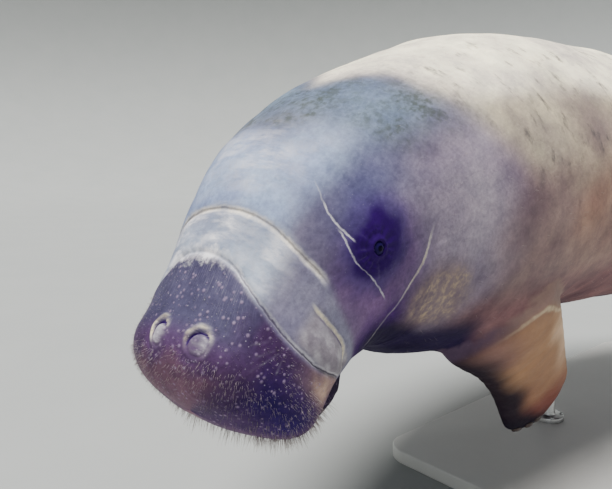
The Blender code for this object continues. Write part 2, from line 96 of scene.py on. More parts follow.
# Folds: where each lies along the spine at a few angles from the back
FOLD_MUZZLE = (
    (0, 0.118), (20, 0.112), (40, 0.097), (60, 0.085), (80, 0.080), (95, 0.083), (118, 0.100), (180, 0.106),
)
FOLD_BROW = (
    (0, 0.156), (20, 0.155), (40, 0.151), (60, 0.1463), (72, 0.146), (85, 0.140), (112, 0.136), (180, 0.140),
)
FOLD_CHEEK = ((60, 0.126), (77, 0.121), (90, 0.122), (100, 0.124), (108, 0.121), (114, 0.113), (121, 0.108))
FOLD_EYE = (
    (0, 0.194), (38, 0.196), (50, 0.188), (64, 0.1835), (76, 0.179), (84, 0.185), (90, 0.190), (180, 0.192),
)
FOLD_SCAR = (
    (0, 0.212), (36, 0.206), (41, 0.201), (46, 0.195), (53, 0.189), (60, 0.187), (68, 0.189), (180, 0.192),
)
FOLD_NECK = (
    (84, 0.290), (92, 0.276), (100, 0.253), (105, 0.233), (110, 0.214), (115, 0.195), (120, 0.184), (127, 0.172),
    (137, 0.158),
)
FOLD_NAMES = ("muzzle", "brow", "cheek", "eye", "scar", "neck")
# Each fold's groove: its depth, its width, how high its sides swell and how uneven it is
FOLD_GROOVES = {
    "muzzle": (0.0032, 0.0028, 0.15, 0.25),
    "brow": (0.0022, 0.0026, 0.35, 0.25),
    "cheek": (0.0034, 0.0030, 0.25, 0.0),
    "eye": (0.0009, 0.0017, 0.30, 0.25),
    "scar": (0.0008, 0.0016, 0.30, 0.25),
    "neck": (0.0026, 0.0036, 0.22, 0.25),
}
# Soft rises of the flesh: the middle's s and angle, how far each reaches along and round, and its height
BROW_SWELLING = (0.205, 74, 0.040, 20, 0.0080)
SWELLINGS = ((0.045, 124, 0.036, 24, 0.0035), (0.101, 101, 0.0125, 17, 0.0060), BROW_SWELLING)

# Places of features as s and the angle from the back, and their sizes
EYE_AT = (0.206, 78.0)
EYE_PATCH = (0.2075, 77.2)
EYE_RADIUS = 0.0095
EYE_SUNK = 0.0070
LID_RADIUS = 0.0088
NOSTRIL_AT = (0.040, 14.0)
NOSTRIL_RADIUS = 0.0135
PLUG_RADIUS = 0.0112
PLUG_SHIFT = 0.0026
PLUG_WAY = -58.0
MUZZLE_TWIST = 8.0
JAW_AT = 0.110
JAW_SIZE = (0.078, 0.078, 0.058)
JAW_SUNK = 0.015

FLIPPERS = {
    "left": {"at": (0.575, 144.0), "aim": (-0.168, 0.757, -0.632), "chord": (0.430, 0.633, 0.644)},
    "right": {"at": (0.575, -138.0), "aim": (-0.360, 0.905, -0.225), "chord": (-0.250, 0.130, 0.960)},
}
FLIPPER_LENGTH = 0.42
FLIPPER_SUNK = 0.07
FLIPPER_BEND = (-0.034, -0.014)
FLIPPER_TIP = 0.78
FLIPPER_FLARE = (0.034, 0.014)
# share of the length, half chord, half thickness
FLIPPER_SECTIONS = (
    (0.00, 0.089, 0.042), (0.20, 0.089, 0.036), (0.45, 0.084, 0.027),
    (0.70, 0.083, 0.019), (0.88, 0.077, 0.013), (1.00, 0.060, 0.009),
)
# Creases across a flipper: share of its length, depth, width
FLIPPER_CREASES = ((0.335, 0.0022, 0.0035), (0.27, 0.0016, 0.0030), (0.41, 0.0011, 0.0028))
# The pale crease below a flipper's root, as a distance from the body
ROOT_CREASE = 0.029
NAIL_SIZE = (0.0090, 0.0130, 0.0040)
NAIL_TURNS = (158.0, 128.0, 98.0)
NAIL_SHARES = (0.900, 0.940, 0.950)

BASE_SIZE = (0.50, 1.30, 0.03)
BASE_CORNER = 0.06
BASE_EDGE = 0.004
ROD_RADIUS = 0.018
FLANGE_RADIUS = 0.040
FLANGE_HEIGHT = 0.012
ROD_PLACES = {"front": -0.22, "rear": 0.36}
ROD_SHIFT = -0.03
GAP = 0.0003
# A screw's radius and its height over the flange, from its rim to its socket
SCREW_PROFILE = ((0.0045, -0.001), (0.0045, 0.0018), (0.0040, 0.0024), (0.0022, 0.0026), (0.0021, 0.0012))
SCREW_CIRCLE = 0.036

# Rows and columns of the grids; the head's rows run from fold to fold
HEAD_COLUMNS = 336
MUZZLE_ROWS = 62
FOLD_ROWS = ((24, "out"), (22, "both"), (20, "both"), (20, "in"), (28, "in"))
TRUNK_ROWS = 124
PADDLE_ROWS = 22
FLIPPER_COLUMNS = 72
FLIPPER_ROWS = (62, 24)
JAW_RINGS = 48
JAW_COLUMNS = 84

# The numbers by which the joined skin knows its parts, and how far and how often their joins are softened.
# The jaw's join lies ahead of this y, the flippers' behind it.
KIND_LEFT, KIND_RIGHT, KIND_JAW = 2.0, 4.0, 8.0
SOFT_REACH = 7
SOFT_FALL = 0.78
SOFT_ROUNDS = 14
JAW_END_Y = -0.95

HAIR_SUNK = 0.0015
HAIR_PATCH = 0.0014

# The floor: flat to this radius, then bent up over a bow, then upright to the rim
FLOOR_COLUMNS = 96
FLOOR_FLAT = 14.0
FLOOR_BOW = 8.0
FLOOR_RISE = 16.0

CAMERA_AT = (0.598, -1.624, 0.654)
CAMERA_ANGLES = (49.0, 6.93)
CAMERA_LENS = 33.73

FLESH = (
    "head", "lower_jaw", "neck", "chest", "torso", "tail_stock", "tail_paddle", "flipper_left", "flipper_right",
)


# The body's surface


def spline(points, x):
    """Natural cubic curve through the (x, y) points, level past its ends."""
    xs, ys = np.array(points, float).T
    n = len(xs)
    h = np.diff(xs)
    left = np.eye(n)
    right = np.zeros(n)
    for i in range(1, n - 1):
        left[i, i - 1 : i + 2] = h[i - 1], 2 * (h[i - 1] + h[i]), h[i]
        right[i] = 6 * ((ys[i + 1] - ys[i]) / h[i] - (ys[i] - ys[i - 1]) / h[i - 1])
    bend = np.linalg.solve(left, right)
    k = np.clip(np.searchsorted(xs, x) - 1, 0, n - 2)
    d = np.clip(x, xs[0], xs[-1]) - xs[k]
    slope = (ys[k + 1] - ys[k]) / h[k] - h[k] * (2 * bend[k] + bend[k + 1]) / 6
    return ys[k] + slope * d + bend[k] * d**2 / 2 + (bend[k + 1] - bend[k]) * d**3 / (6 * h[k])


def at(table, s, steps):
    """The table's vectors at s."""
    return np.stack([np.interp(s, steps, table[:, i]) for i in range(3)], -1)


def make_spine():
    """The spine's points and directions, by adding up its climb and turn over 1500 short steps."""
    s = np.linspace(-0.02, LENGTH, 1500)
    climb = np.radians(spline(CLIMB, s))
    turn = np.radians(spline(TURN, s))
    back = np.stack([np.sin(turn) * np.cos(climb), np.cos(turn) * np.cos(climb), np.sin(climb)], -1)
    up = np.stack([-np.sin(turn) * np.sin(climb), -np.cos(turn) * np.sin(climb), np.cos(climb)], -1)
    steps = (back[1:] + back[:-1]) / 2 * np.diff(s)[:, None]
    place = np.concatenate([[[0, 0, 0]], np.cumsum(steps, 0)])
    place += MUZZLE_FRONT - at(place, 0.0, s)
    return s, {"place": place, "up": up, "left": np.cross(up, -back), "back": back}


SPINE_S, SPINE = make_spine()


def spine(name, s):
    """The spine's place or one of its directions at s."""
    return at(SPINE[name], s, SPINE_S)


def section(column, s):
    """One column of the table of sections at s."""
    return spline([(row[0], row[column]) for row in SECTIONS], s)


def signed_power(x, power):
    """The power of x's size, with x's sign."""
    return np.sign(x) * np.abs(x) ** power


def plain(s, t):
    """Superellipse sections carried along the spine: x = w sin(t)^(2/n), z = h cos(t)^(2/n), both times how
    full the section is near the two ends."""
    s, t = np.broadcast_arrays(np.asarray(s, float), np.asarray(t, float))
    front = np.clip(1 - s / MUZZLE_DEPTH, 0, 1)
    tip = np.clip(1 - (LENGTH - s) / PADDLE_TIP, 0, 1)
    fill = (1 - front**MUZZLE_ROUND) ** (1 / MUZZLE_ROUND) * np.sqrt(1 - tip**2)
    power = 2 / section(FULLNESS, s)
    across = signed_power(np.sin(np.radians(t)), power)
    rise = signed_power(np.cos(np.radians(t)), power)
    x = section(WIDTH, s) * across * (1 - section(BELLY, s) * rise) * fill
    height = np.where(rise > 0, section(RISE, s), section(DROP, s))
    z = height * rise * np.where(s > TAIL_START, fill**0.6, fill)
    return spine("place", s) + x[..., None] * spine("left", s) + z[..., None] * spine("up", s)


def outward(s, t):
    """The plain body's unit normal: across the steps along s and round t."""
    step = 0.001
    s = np.clip(s, step, LENGTH - step)
    along = plain(s + step / 2, t) - plain(s - step / 2, t)
    around = plain(s, t + 0.1) - plain(s, t - 0.1)
    normal = np.cross(around, along)
    return normal / np.linalg.norm(normal, axis=-1, keepdims=True)


def frame_at(s, t):
    """A place on the plain body with three unit directions: across it, forwards over it and out of it."""
    out = outward(s, t)
    ahead = -spine("back", s)
    ahead = ahead - ahead.dot(out) * out
    ahead /= np.linalg.norm(ahead)
    return plain(s, t), np.cross(ahead, out), ahead, out


def polar(points, place):
    """Distance of points from a place, across and ahead in the plane of the skin there, and their direction in it;
    90 degrees is forwards."""
    centre, across, ahead, _ = place
    d = points - centre
    x = d @ across
    y = d @ ahead
    far = np.linalg.norm(d, axis=-1)
    return far, x, y, np.arctan2(y, x)


def bell(x, width):
    """1 at 0, falling off as a Gaussian of the given width."""
    return np.exp(-((x / width) ** 2))


def step(x, low, high):
    """Smooth rise from 0 at low to 1 at high."""
    u = np.clip((x - low) / (high - low), 0, 1)
    return u * u * (3 - 2 * u)


def between(t, low, high, soft):
    """1 between two angles, falling to 0 over soft degrees outside them."""
    return step(t, low - soft, low) * (1 - step(t, high, high + soft))


def crease(distance, depth, width, swell=0.25):
    """A groove, exp(-|d/w|^1.4), between two low swellings, exp(-(d/3w)^2)."""
    near = np.abs(distance / width)
    return depth * (swell * np.exp(-near**2 / 9) - (1 + swell) * np.exp(-near**1.4))


def wave(points, scale, seed):
    """Smooth irregular waves between about -1 and 1: a sum of nine sines with drawn directions and phases."""
    draw = np.random.default_rng(seed)
    total = np.zeros(points.shape[:-1])
    for _ in range(9):
        direction = draw.normal(size=3)
        direction /= np.linalg.norm(direction)
        pitch = draw.uniform(0.6, 1.7) * math.tau / scale
        total += np.sin(points @ direction * pitch + draw.uniform(0, math.tau))
    return total / 4


def fold_lines(s, t):
    """Distance from each fold in metres across it, and how strongly it shows at that angle."""
    a = np.abs(t)
    neck = np.array(FOLD_NECK)
    slope = np.gradient(np.interp(np.arange(60.0, 160.0), *neck.T)) / 0.0025
    steep = np.interp(a, np.arange(60.0, 160.0), np.convolve(slope, np.ones(9) / 9, "same"))
    across = (s - spline(FOLD_NECK, a)) / np.hypot(1, steep)
    return {
        "muzzle": (s - spline(FOLD_MUZZLE, a), between(a, 0, 114, 12)),
        "brow": (s - spline(FOLD_BROW, a), between(a, 0, 66, 10)),
        "cheek": (s - spline(FOLD_CHEEK, a), between(a, 80, 114, 8)),
        "eye": (s - spline(FOLD_EYE, a), between(a, 64, 96, 6)),
        "scar": (s - spline(FOLD_SCAR, a), between(a, 51, 66, 5) + 0.35 * between(a, 41, 49, 4)),
        "neck": (across, np.interp(a, (84, 90, 95, 101, 108, 128, 138), (0, 0.7, 1, 0.9, 0.45, 0.22, 0))),
    }


EYES = {side: frame_at(EYE_AT[0], sign * EYE_AT[1]) for side, sign in (("left", 1), ("right", -1))}
NOSTRILS = [frame_at(NOSTRIL_AT[0], MUZZLE_TWIST + side * NOSTRIL_AT[1]) for side in (1, -0.93)]
NOSTRIL_SHAPES = ((1.0, 1.0), (1.28, 0.94))


def nostril_rings(points, place, shape):
    """Distances from a nostril's rim and its plug's edge and from its middle, and 1 to -1 from its upper to its
    lower side."""
    x, y = polar(points, place)[1:3]
    x = x * shape[0]
    y = y * shape[1]
    angle = np.arctan2(y, x)
    far = np.sqrt(x**2 + y**2 + ((points - place[0]) @ place[3]) ** 2)
    far = far * (1 + 0.05 * np.sin(2 * angle + 0.4) + 0.03 * np.sin(5 * angle))
    way = math.radians(PLUG_WAY)
    plug = np.hypot(x + PLUG_SHIFT * math.cos(way), y + PLUG_SHIFT * math.sin(way))
    return far - NOSTRIL_RADIUS, plug - PLUG_RADIUS, far, np.cos(angle - way)


def swelling(s, a, row):
    """A soft rise of the flesh: two bells, one along the body and one round it."""
    middle, angle, along, around, height = row
    return height * bell(s - middle, along) * bell(a - angle, around)


def relief(s, t, points):
    """How far the skin stands out from the plain body: folds, lobe, lip pads, lids, nostrils, wrinkles."""
    a = np.abs(t)
    lines = fold_lines(s, t)
    waves = wave(points, 0.10, 3)
    out = np.zeros_like(waves)
    for name, (depth, width, swell, uneven) in FOLD_GROOVES.items():
        distance, shows = lines[name]
        out += crease(distance, depth, width, swell) * shows * (1 + uneven * waves)
    distance, shows = lines["muzzle"]
    out += 0.0010 * bell(distance, 0.014) * shows
    # an uneven crust on top of the first fold
    out += 0.0006 * bell(distance - 0.002, 0.008) * bell(t + 6, 30) * wave(points, 0.011, 10)
    for row in SWELLINGS:
        out += swelling(s, a, row)
    out *= 1 - step(s, NECK_START - 0.03, NECK_START)
    # soft unevenness of the flesh, and shallow wrinkles across the neck
    out += 0.0011 * wave(points, 0.075, 5) + 0.0022 * wave(points, 0.30, 6) * step(s, 0.3, 0.6)
    rings = np.sin((s + 0.004 * wave(points, 0.12, 8)) * math.tau / 0.019)
    out += 0.0005 * rings * between(s, 0.215, 0.40, 0.05) * (0.5 + 0.5 * np.tanh(2 * wave(points, 0.13, 9)))
    for place in EYES.values():
        out += lids(polar(points, place))
    for place, shape in zip(NOSTRILS, NOSTRIL_SHAPES):
        rim, plug, _, lean = nostril_rings(points, place, shape)
        out += 0.0010 * bell(rim, 0.0028) * (0.4 + 0.6 * lean)
        out -= 0.0036 * bell(plug, 0.0017) * (0.20 + 0.80 * step(lean, -0.5, 0.7))
        out -= 0.0008 * bell(rim - 0.0062, 0.0034)
    return out


def lids(where):
    """A lid's raised ring round a hollow for the eyeball, with folds that spread from it and rings round it."""
    far, x, y, angle = where
    rim = np.hypot(x, y + 0.0004) / LID_RADIUS
    out = 0.0018 * bell(rim - 1.03, 0.22) - 0.0090 * (1 - step(rim, 0.62, 0.86)) * (far < 0.02)
    out -= 0.0008 * bell(rim - 1.75, 0.35)
    out += 0.0007 * np.sin(angle * 13 + 1.2 * np.sin(angle * 3 + 1)) * bell(far - 0.0190, 0.0075)
    return out + 0.0005 * np.sin(far * math.tau / 0.0058) * bell(far - 0.024, 0.010)


def surface(s, t):
    """Points of the dressed body."""
    s, t = np.broadcast_arrays(np.asarray(s, float), np.asarray(t, float))
    points = plain(s, t)
    return points + outward(s, t) * relief(s, t, points)[..., None]


# The grid of the skin


def columns(count):
    """Angles round the body, closest together at the eyes and nostrils, from one belly side to the other."""
    t = np.linspace(-180, 180, 7201)
    a = np.abs(t)
    density = 1 + 1.9 * bell(a - 78, 8) + 1.1 * bell(a - 14, 15) + 0.8 * bell(a - 104, 16)
    total = np.concatenate([[0], np.cumsum((density[1:] + density[:-1]) / 2)])
    return np.interp(np.arange(count) / count * total[-1], total, t)


def head_rows(t):
    """Rows of s for each angle: even steps over the blunt muzzle, then from fold to fold, crowded at each."""
    s = MUZZLE_DEPTH * np.linspace(0, 1, 4001) ** 2
    fill = (1 - (1 - s / MUZZLE_DEPTH) ** MUZZLE_ROUND) ** (1 / MUZZLE_ROUND)
    along = np.hypot(np.diff(s), np.diff(fill * 0.098)) * (1 + 0.9 * bell(s[1:] - 0.036, 0.022))
    along = np.concatenate([[0], np.cumsum(along)])
    front = np.interp(np.linspace(0, along[-1], MUZZLE_ROWS), along, s)
    rows = [np.full_like(t, value) for value in front]
    a = np.abs(t)
    knots = [
        np.full_like(t, MUZZLE_DEPTH),
        spline(FOLD_MUZZLE, a),
        spline(FOLD_BROW, a),
        spline(FOLD_EYE, a),
        spline(FOLD_EYE, a) + 0.028,
        np.full_like(t, NECK_START),
    ]
    for low, high, (count, ease) in zip(knots, knots[1:], FOLD_ROWS):
        u = np.arange(1, count + 1)[:, None] / count
        if ease == "both":
            u = u - 0.6 * np.sin(math.tau * u) / math.tau
        elif ease == "out":
            u = 1.5 * u - 0.5 * u**2
        else:
            u = 0.6 * u + 0.4 * u**2
        rows += list(low + (high - low) * u)
    return np.array(rows)


def body_grid():
    """Vertices, their s and t, and the faces of the whole body: a fine head and a coarser trunk and tail."""
    t = columns(HEAD_COLUMNS)
    half = HEAD_COLUMNS // 2
    head = head_rows(t)
    trunk = np.linspace(NECK_START + 0.007, LENGTH - PADDLE_TIP, TRUNK_ROWS)
    tip = LENGTH - PADDLE_TIP * (1 - np.sin(np.linspace(0, math.pi / 2, PADDLE_ROWS)))
    trunk = np.concatenate([trunk, tip[1:]])
    s = np.concatenate([head[1:].ravel(), np.repeat(trunk[:-1], half)])
    angle = np.concatenate([np.tile(t, len(head) - 1), np.tile(t[::2], len(trunk) - 1)])
    points = surface(s, angle)
    front = surface(np.zeros(8), np.arange(8) * 45.0).mean(0)
    end = surface(np.full(8, LENGTH), np.arange(8) * 45.0).mean(0)
    points = np.vstack([points, front, end])
    s = np.append(s, [0.0, LENGTH])
    angle = np.append(angle, [0.0, 0.0])
    first, last = len(points) - 2, len(points) - 1
    fine = np.arange((len(head) - 1) * HEAD_COLUMNS).reshape(-1, HEAD_COLUMNS)
    coarse = fine.size + np.arange((len(trunk) - 1) * half).reshape(-1, half)
    quads = [quads_of(fine), quads_of(coarse)]
    a0, a1, a2 = fine[-1, 0::2], fine[-1, 1::2], np.roll(fine[-1, 0::2], -1)
    b0, b1 = coarse[0], np.roll(coarse[0], -1)
    triangles = [
        np.stack([a0, a1, b0], -1),
        np.stack([a1, b1, b0], -1),
        np.stack([a1, a2, b1], -1),
        cap(fine[0], first),
        cap(coarse[-1], last, last=True),
    ]
    return points, s, angle, quads, triangles


def quads_of(index):
    """Faces of a grid whose columns close round."""
    nxt = np.roll(index, -1, 1)
    return np.stack([index[:-1], nxt[:-1], nxt[1:], index[1:]], -1).reshape(-1, 4)


def cap(ring, centre, last=False):
    """Triangles from a ring of a grid to the point that closes it."""
    after = np.roll(ring, -1)
    first, second = (ring, after) if last else (after, ring)
    return np.stack([np.full(len(ring), centre), first, second], -1)


def shell(name, points, count):
    """A closed mesh from rings of count points each, then the points that close its first and its last ring."""
    rings = np.arange(len(points) - 2).reshape(-1, count)
    caps = [cap(rings[0], len(points) - 2), cap(rings[-1], len(points) - 1, last=True)]
    return new_mesh(name, points, [quads_of(rings)], caps)


def ball(rings, count):
    """A unit sphere: rings of points at equal steps between its poles, then the two poles."""
    lat = np.linspace(0, math.pi, rings + 2)[1:-1, None]
    lon = np.arange(count) * math.tau / count
    grid = np.stack([np.sin(lat) * np.cos(lon), np.sin(lat) * np.sin(lon), np.cos(lat) + 0 * lon], -1)
    return np.vstack([grid.reshape(-1, 3), [[0, 0, 1.0], [0, 0, -1.0]]])


def new_mesh(name, points, quads, triangles):
    """A mesh from arrays of points and faces, smooth shaded, its faces turned outwards as one."""
    quads = np.concatenate([np.reshape(part, (-1, 4)) for part in quads])
    triangles = np.concatenate([np.reshape(part, (-1, 3)) for part in triangles])
    volume = 0.0
    for f in (quads[:, [0, 1, 2]], quads[:, [0, 2, 3]], triangles):
        volume += np.einsum("ij,ij->", points[f[:, 0]], np.cross(points[f[:, 1]], points[f[:, 2]]))
    if volume < 0:
        quads, triangles = quads[:, ::-1], triangles[:, ::-1]
    mesh = bpy.data.meshes.new(name)
    mesh.vertices.add(len(points))
    mesh.vertices.foreach_set("co", np.asarray(points, "f").ravel())
    corners = np.concatenate([quads.ravel(), triangles.ravel()]).astype("i")
    mesh.loops.add(len(corners))
    mesh.loops.foreach_set("vertex_index", corners)
    starts = np.concatenate([np.arange(len(quads)) * 4, quads.size + np.arange(len(triangles)) * 3])
    mesh.polygons.add(len(starts))
    mesh.polygons.foreach_set("loop_start", starts.astype("i"))
    mesh.update(calc_edges=True)
    mesh.validate()
    mesh.shade_smooth()
    return mesh


def put(mesh, name, values):
    """Stores an array on the mesh's points: numbers, vectors of three, or colours of four."""
    values = np.asarray(values, "f")
    kinds = {1: ("FLOAT", "value"), 3: ("FLOAT_VECTOR", "vector"), 4: ("FLOAT_COLOR", "color")}
    kind, key = kinds[1 if values.ndim == 1 else values.shape[1]]
    mesh.attributes.new(name, kind, "POINT").data.foreach_set(key, values.ravel())


def take(mesh, name):
    """Reads an array of numbers back from the mesh's points."""
    values = np.empty(len(mesh.vertices), "f")
    mesh.attributes[name].data.foreach_get("value", values)
    return values


def add_piece(name, mesh, material, nodes=()):
    """A finished piece at the origin that rides on the body and stands for the CAD nodes it covers."""
    obj = bpy.data.objects.new(name, mesh)
    bpy.context.scene.collection.objects.link(obj)
    mesh.materials.clear()
    mesh.materials.append(material)
    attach(obj, "root")
    if nodes:
        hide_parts(*nodes)
    return obj


def flipper_axes(word):
    """The flipper's root, its way to the tip, its chord and the way out of its outer face."""
    side = 1 if word == "left" else -1
    aim = np.array(FLIPPERS[word]["aim"])
    aim = aim / np.linalg.norm(aim)
    chord = np.array(FLIPPERS[word]["chord"])
    chord = chord - chord.dot(aim) * aim
    chord = chord / np.linalg.norm(chord)
    face = side * np.cross(aim, chord)
    s, t = FLIPPERS[word]["at"]
    return plain(s, t) - aim * FLIPPER_SUNK, aim, chord, face


def flipper_halves(shares):
    """Half the chord and half the thickness at shares of the flipper's length."""
    return [spline([(row[0], row[column]) for row in FLIPPER_SECTIONS], shares) for column in (1, 2)]


def flipper_points(word, turns, shares, fine=True):
    """Ellipses on a bent axis, with a few creases across, finger ridges towards the tip and a wavy edge."""
    root, aim, chord, face = flipper_axes(word)
    whole = FLIPPER_LENGTH + FLIPPER_SUNK
    half_chord, half_thick = flipper_halves(shares)
    tip = np.clip((shares - FLIPPER_TIP) / (1 - FLIPPER_TIP), 0, 1)
    fill = np.sqrt(1 - tip**2)
    axis = root + (shares[:, None] * whole) * aim
    axis = axis + shares[:, None] ** 2 * (FLIPPER_BEND[0] * chord + FLIPPER_BEND[1] * face)
    flare = bell(shares, 0.22) * fine
    leading = step(-np.cos(turns), -0.1, 0.9)[None, :]
    wide = ((half_chord * fill)[:, None] + FLIPPER_FLARE[0] * flare[:, None] * leading) * np.cos(turns)[None, :]
    thick = (half_thick * fill**0.7 + FLIPPER_FLARE[1] * flare)[:, None] * np.sin(turns)[None, :]
    points = axis[:, None, :] + wide[..., None] * chord + thick[..., None] * face
    if fine:
        u = shares[:, None]
        bow = u + 0.020 * np.cos(turns - 0.6)[None, :] + 0.006 * wave(points, 0.06, 21)
        lift = sum(crease((bow - share) * whole, depth, width) for share, depth, width in FLIPPER_CREASES)
        ridges = np.cos(wide / 0.024 * math.pi + 0.5) * step(u, 0.5, 0.8) * np.abs(np.sin(turns))[None, :]
        lift = lift + 0.0010 * wave(points, 0.045, 22) + 0.0010 * ridges
        way = np.cos(turns)[None, :, None] * chord * 0.6 + np.sin(turns)[None, :, None] * face
        points = points + way * (lift * (1 - 0.8 * tip[:, None]))[..., None]
    return points


def union(base, others):
    """Joins closed meshes into the first by Boolean; their point attributes are carried over."""
    scene = bpy.context.scene.collection.objects
    obj = bpy.data.objects.new("base", base)
    scene.link(obj)
    for mesh in others:
        tool = bpy.data.objects.new("tool", mesh)
        scene.link(tool)
        change = obj.modifiers.new("join", "BOOLEAN")
        change.operation = "UNION"
        change.object = tool
        change.solver = "MANIFOLD"
    bpy.context.view_layer.update()
    result = bpy.data.meshes.new_from_object(obj.evaluated_get(bpy.context.evaluated_depsgraph_get()))
    for tool in [m.object for m in obj.modifiers]:
        bpy.data.objects.remove(tool)
    bpy.data.objects.remove(obj)
    # a point that only two faces share would fold over once its faces are cut into triangles
    edges = np.empty(len(result.edges) * 2, "i")
    result.edges.foreach_get("vertices", edges)
    spare = np.flatnonzero(np.bincount(edges, minlength=len(result.vertices)) == 2)
    tidy = bmesh.new()
    tidy.from_mesh(result)
    tidy.verts.ensure_lookup_table()
    bmesh.ops.dissolve_verts(tidy, verts=[tidy.verts[i] for i in spare.tolist()])
    tidy.to_mesh(result)
    tidy.free()
    return result


def section_place(points, s):
    """Points as left, up and back of the spine's place at s, with s added backwards: a straightened body."""
    d = points - spine("place", s)
    left, up, back = ((d * spine(name, s)).sum(-1) for name in ("left", "up", "back"))
    return np.stack([left, up, back + s], -1)


def soften(mesh, kind, mixed):
    """Rounds the joins: points near where two kinds meet move again and again towards their neighbours' mean.
    The points made on the line of a join, which carry no values, count as the limb's."""
    points = np.empty(len(mesh.vertices) * 3, "f")
    mesh.vertices.foreach_get("co", points)
    points = points.reshape(-1, 3).astype(float)
    edges = np.empty(len(mesh.edges) * 2, "i")
    mesh.edges.foreach_get("vertices", edges)
    a, b = edges.reshape(-1, 2).T
    kind = np.where(mixed, np.where(points[:, 1] < JAW_END_Y, KIND_JAW, KIND_LEFT), np.round(kind))
    near = mixed.astype(float)
    across = kind[a] != kind[b]
    near[a[across]] = 1
    near[b[across]] = 1
    for _ in range(SOFT_REACH):
        spread = near.copy()
        np.maximum.at(spread, a, near[b] * SOFT_FALL)
        np.maximum.at(spread, b, near[a] * SOFT_FALL)
        near = spread
    count = np.bincount(a, minlength=len(points)) + np.bincount(b, minlength=len(points))
    for _ in range(SOFT_ROUNDS):
        total = np.zeros_like(points)
        np.add.at(total, a, points[b])
        np.add.at(total, b, points[a])
        points += (total / np.maximum(count, 1)[:, None] - points) * (0.5 * near)[:, None]
    mesh.vertices.foreach_set("co", points.astype("f").ravel())
    mesh.update()
    return points, kind


def jaw_frame():
    """The lower jaw's middle and its directions left, back and up as rows."""
    axes = np.array([spine(name, JAW_AT) for name in ("left", "back", "up")])
    return plain(JAW_AT, 180.0) + axes[2] * JAW_SUNK, axes


def flipper_mesh(word, kind):
    """One flipper as a closed mesh, its share of length and its turn stored on its points."""
    turns = np.arange(FLIPPER_COLUMNS) * math.tau / FLIPPER_COLUMNS
    tip = FLIPPER_TIP + (1 - FLIPPER_TIP) * np.sin(np.linspace(0, math.pi / 2, FLIPPER_ROWS[1]))
    shares = np.concatenate([np.linspace(0, FLIPPER_TIP, FLIPPER_ROWS[0]), tip[1:-1]])
    grid = flipper_points(word, turns, shares)
    ends = [flipper_points(word, turns, np.array([value]), False)[0].mean(0) for value in (0.0, 1.0)]
    mesh = shell(f"flipper_{word}", np.vstack([grid.reshape(-1, 3), ends]), FLIPPER_COLUMNS)
    put(mesh, "kind", np.full(len(mesh.vertices), kind))
    put(mesh, "s", np.append(np.repeat(shares, FLIPPER_COLUMNS), [0.0, 1.0]))
    put(mesh, "turned", np.append(np.tile(np.cos(turns), len(shares)), [0.0, 0.0]))
    put(mesh, "side", np.append(np.tile(np.sin(turns), len(shares)), [0.0, 0.0]))
    return mesh


def jaw_mesh():
    """The lower jaw: an ellipsoid on the jaw's frame with a slight unevenness."""
    centre, axes = jaw_frame()
    unit = ball(JAW_RINGS, JAW_COLUMNS)
    points = centre + (unit * JAW_SIZE) @ axes
    points += (unit @ axes) * (0.0012 * wave(points, 0.022, 31))[:, None]
    mesh = shell("jaw", points, JAW_COLUMNS)
    put(mesh, "kind", np.full(len(points), KIND_JAW))
    for name, values in (("s", unit[:, 1]), ("turned", unit[:, 2]), ("side", unit[:, 0])):
        put(mesh, name, values)
    return mesh


def make_skin(material):
    """One closed skin: the body, both flippers and the lower jaw joined, with its markings on its points."""
    points, s, t, quads, triangles = body_grid()
    body = new_mesh("skin", points, quads, triangles)
    put(body, "kind", np.zeros(len(points)))
    put(body, "s", s)
    put(body, "turned", np.cos(np.radians(t)))
    put(body, "side", np.sin(np.radians(t)))
    mesh = union(body, [flipper_mesh("left", KIND_LEFT), flipper_mesh("right", KIND_RIGHT), jaw_mesh()])
    kind, turned_by, side = (take(mesh, name) for name in ("kind", "turned", "side"))
    points, kind = soften(mesh, kind, (kind < 0.5) & (np.hypot(turned_by, side) < 0.05))
    mark(mesh, points, kind, take(mesh, "s"), np.degrees(np.arctan2(side, turned_by)))
    mesh.shade_smooth()
    return add_piece("skin", mesh, material, FLESH)


# Markings

TONES = {
    "base": (0.165, 0.145, 0.205),
    "muzzle": (0.070, 0.032, 0.098),
    "muzzle_top": (0.052, 0.047, 0.100),
    # painted shade on the lower sides of the muzzle's disc
    "muzzle_low": (0.013, 0.0005, 0.078),
    "rim": (0.185, 0.090, 0.135),
    "pad": (0.54, 0.37, 0.28),
    "ring": (0.25, 0.31, 0.43),
    "ring_low": (0.21, 0.205, 0.285),
    "lobe": (0.22, 0.20, 0.23),
    "forehead": (0.31, 0.41, 0.60),
    "crown": (0.172, 0.242, 0.355),
    "temple": (0.093, 0.096, 0.196),
    # the eye patch's halo, partly painted shade of the hollow round the eye
    "halo": (0.048, 0.028, 0.142),
    "cheek": (0.155, 0.082, 0.210),
    # painted shade: the low side of the head behind the brow fold
    "hollow": (0.052, 0.006, 0.130),
    "side": (0.262, 0.224, 0.286),
    "patch": (0.125, 0.082, 0.105),
    "back": (0.95, 0.89, 0.70),
    "sand": (0.47, 0.415, 0.30),
    "flank": (0.260, 0.180, 0.165),
    "rust": (0.42, 0.225, 0.135),
    # dusky blotches on the flank, and painted shade at the flippers' leading roots
    "dusky": (0.085, 0.052, 0.095),
    # painted shade: the lower sides darker than the upper ones
    "chest": (0.180, 0.092, 0.098),
    # mostly painted shade of the throat and underside, partly the hide's own darker tone
    "under": (0.008, 0.0005, 0.034),
    "flipper": (0.37, 0.205, 0.110),
    "flipper_red": (0.20, 0.062, 0.046),
    # painted shade along the flippers' leading edges, tips and inner faces
    "flipper_dark": (0.004, 0.0005, 0.012),
    # painted shade: the lower jaw tucked under the muzzle, nearly black
    "jaw": (0.012, 0.001, 0.026),
    # painted highlight along the flippers' trailing edges
    "flipper_rim": (0.80, 0.56, 0.37),
}

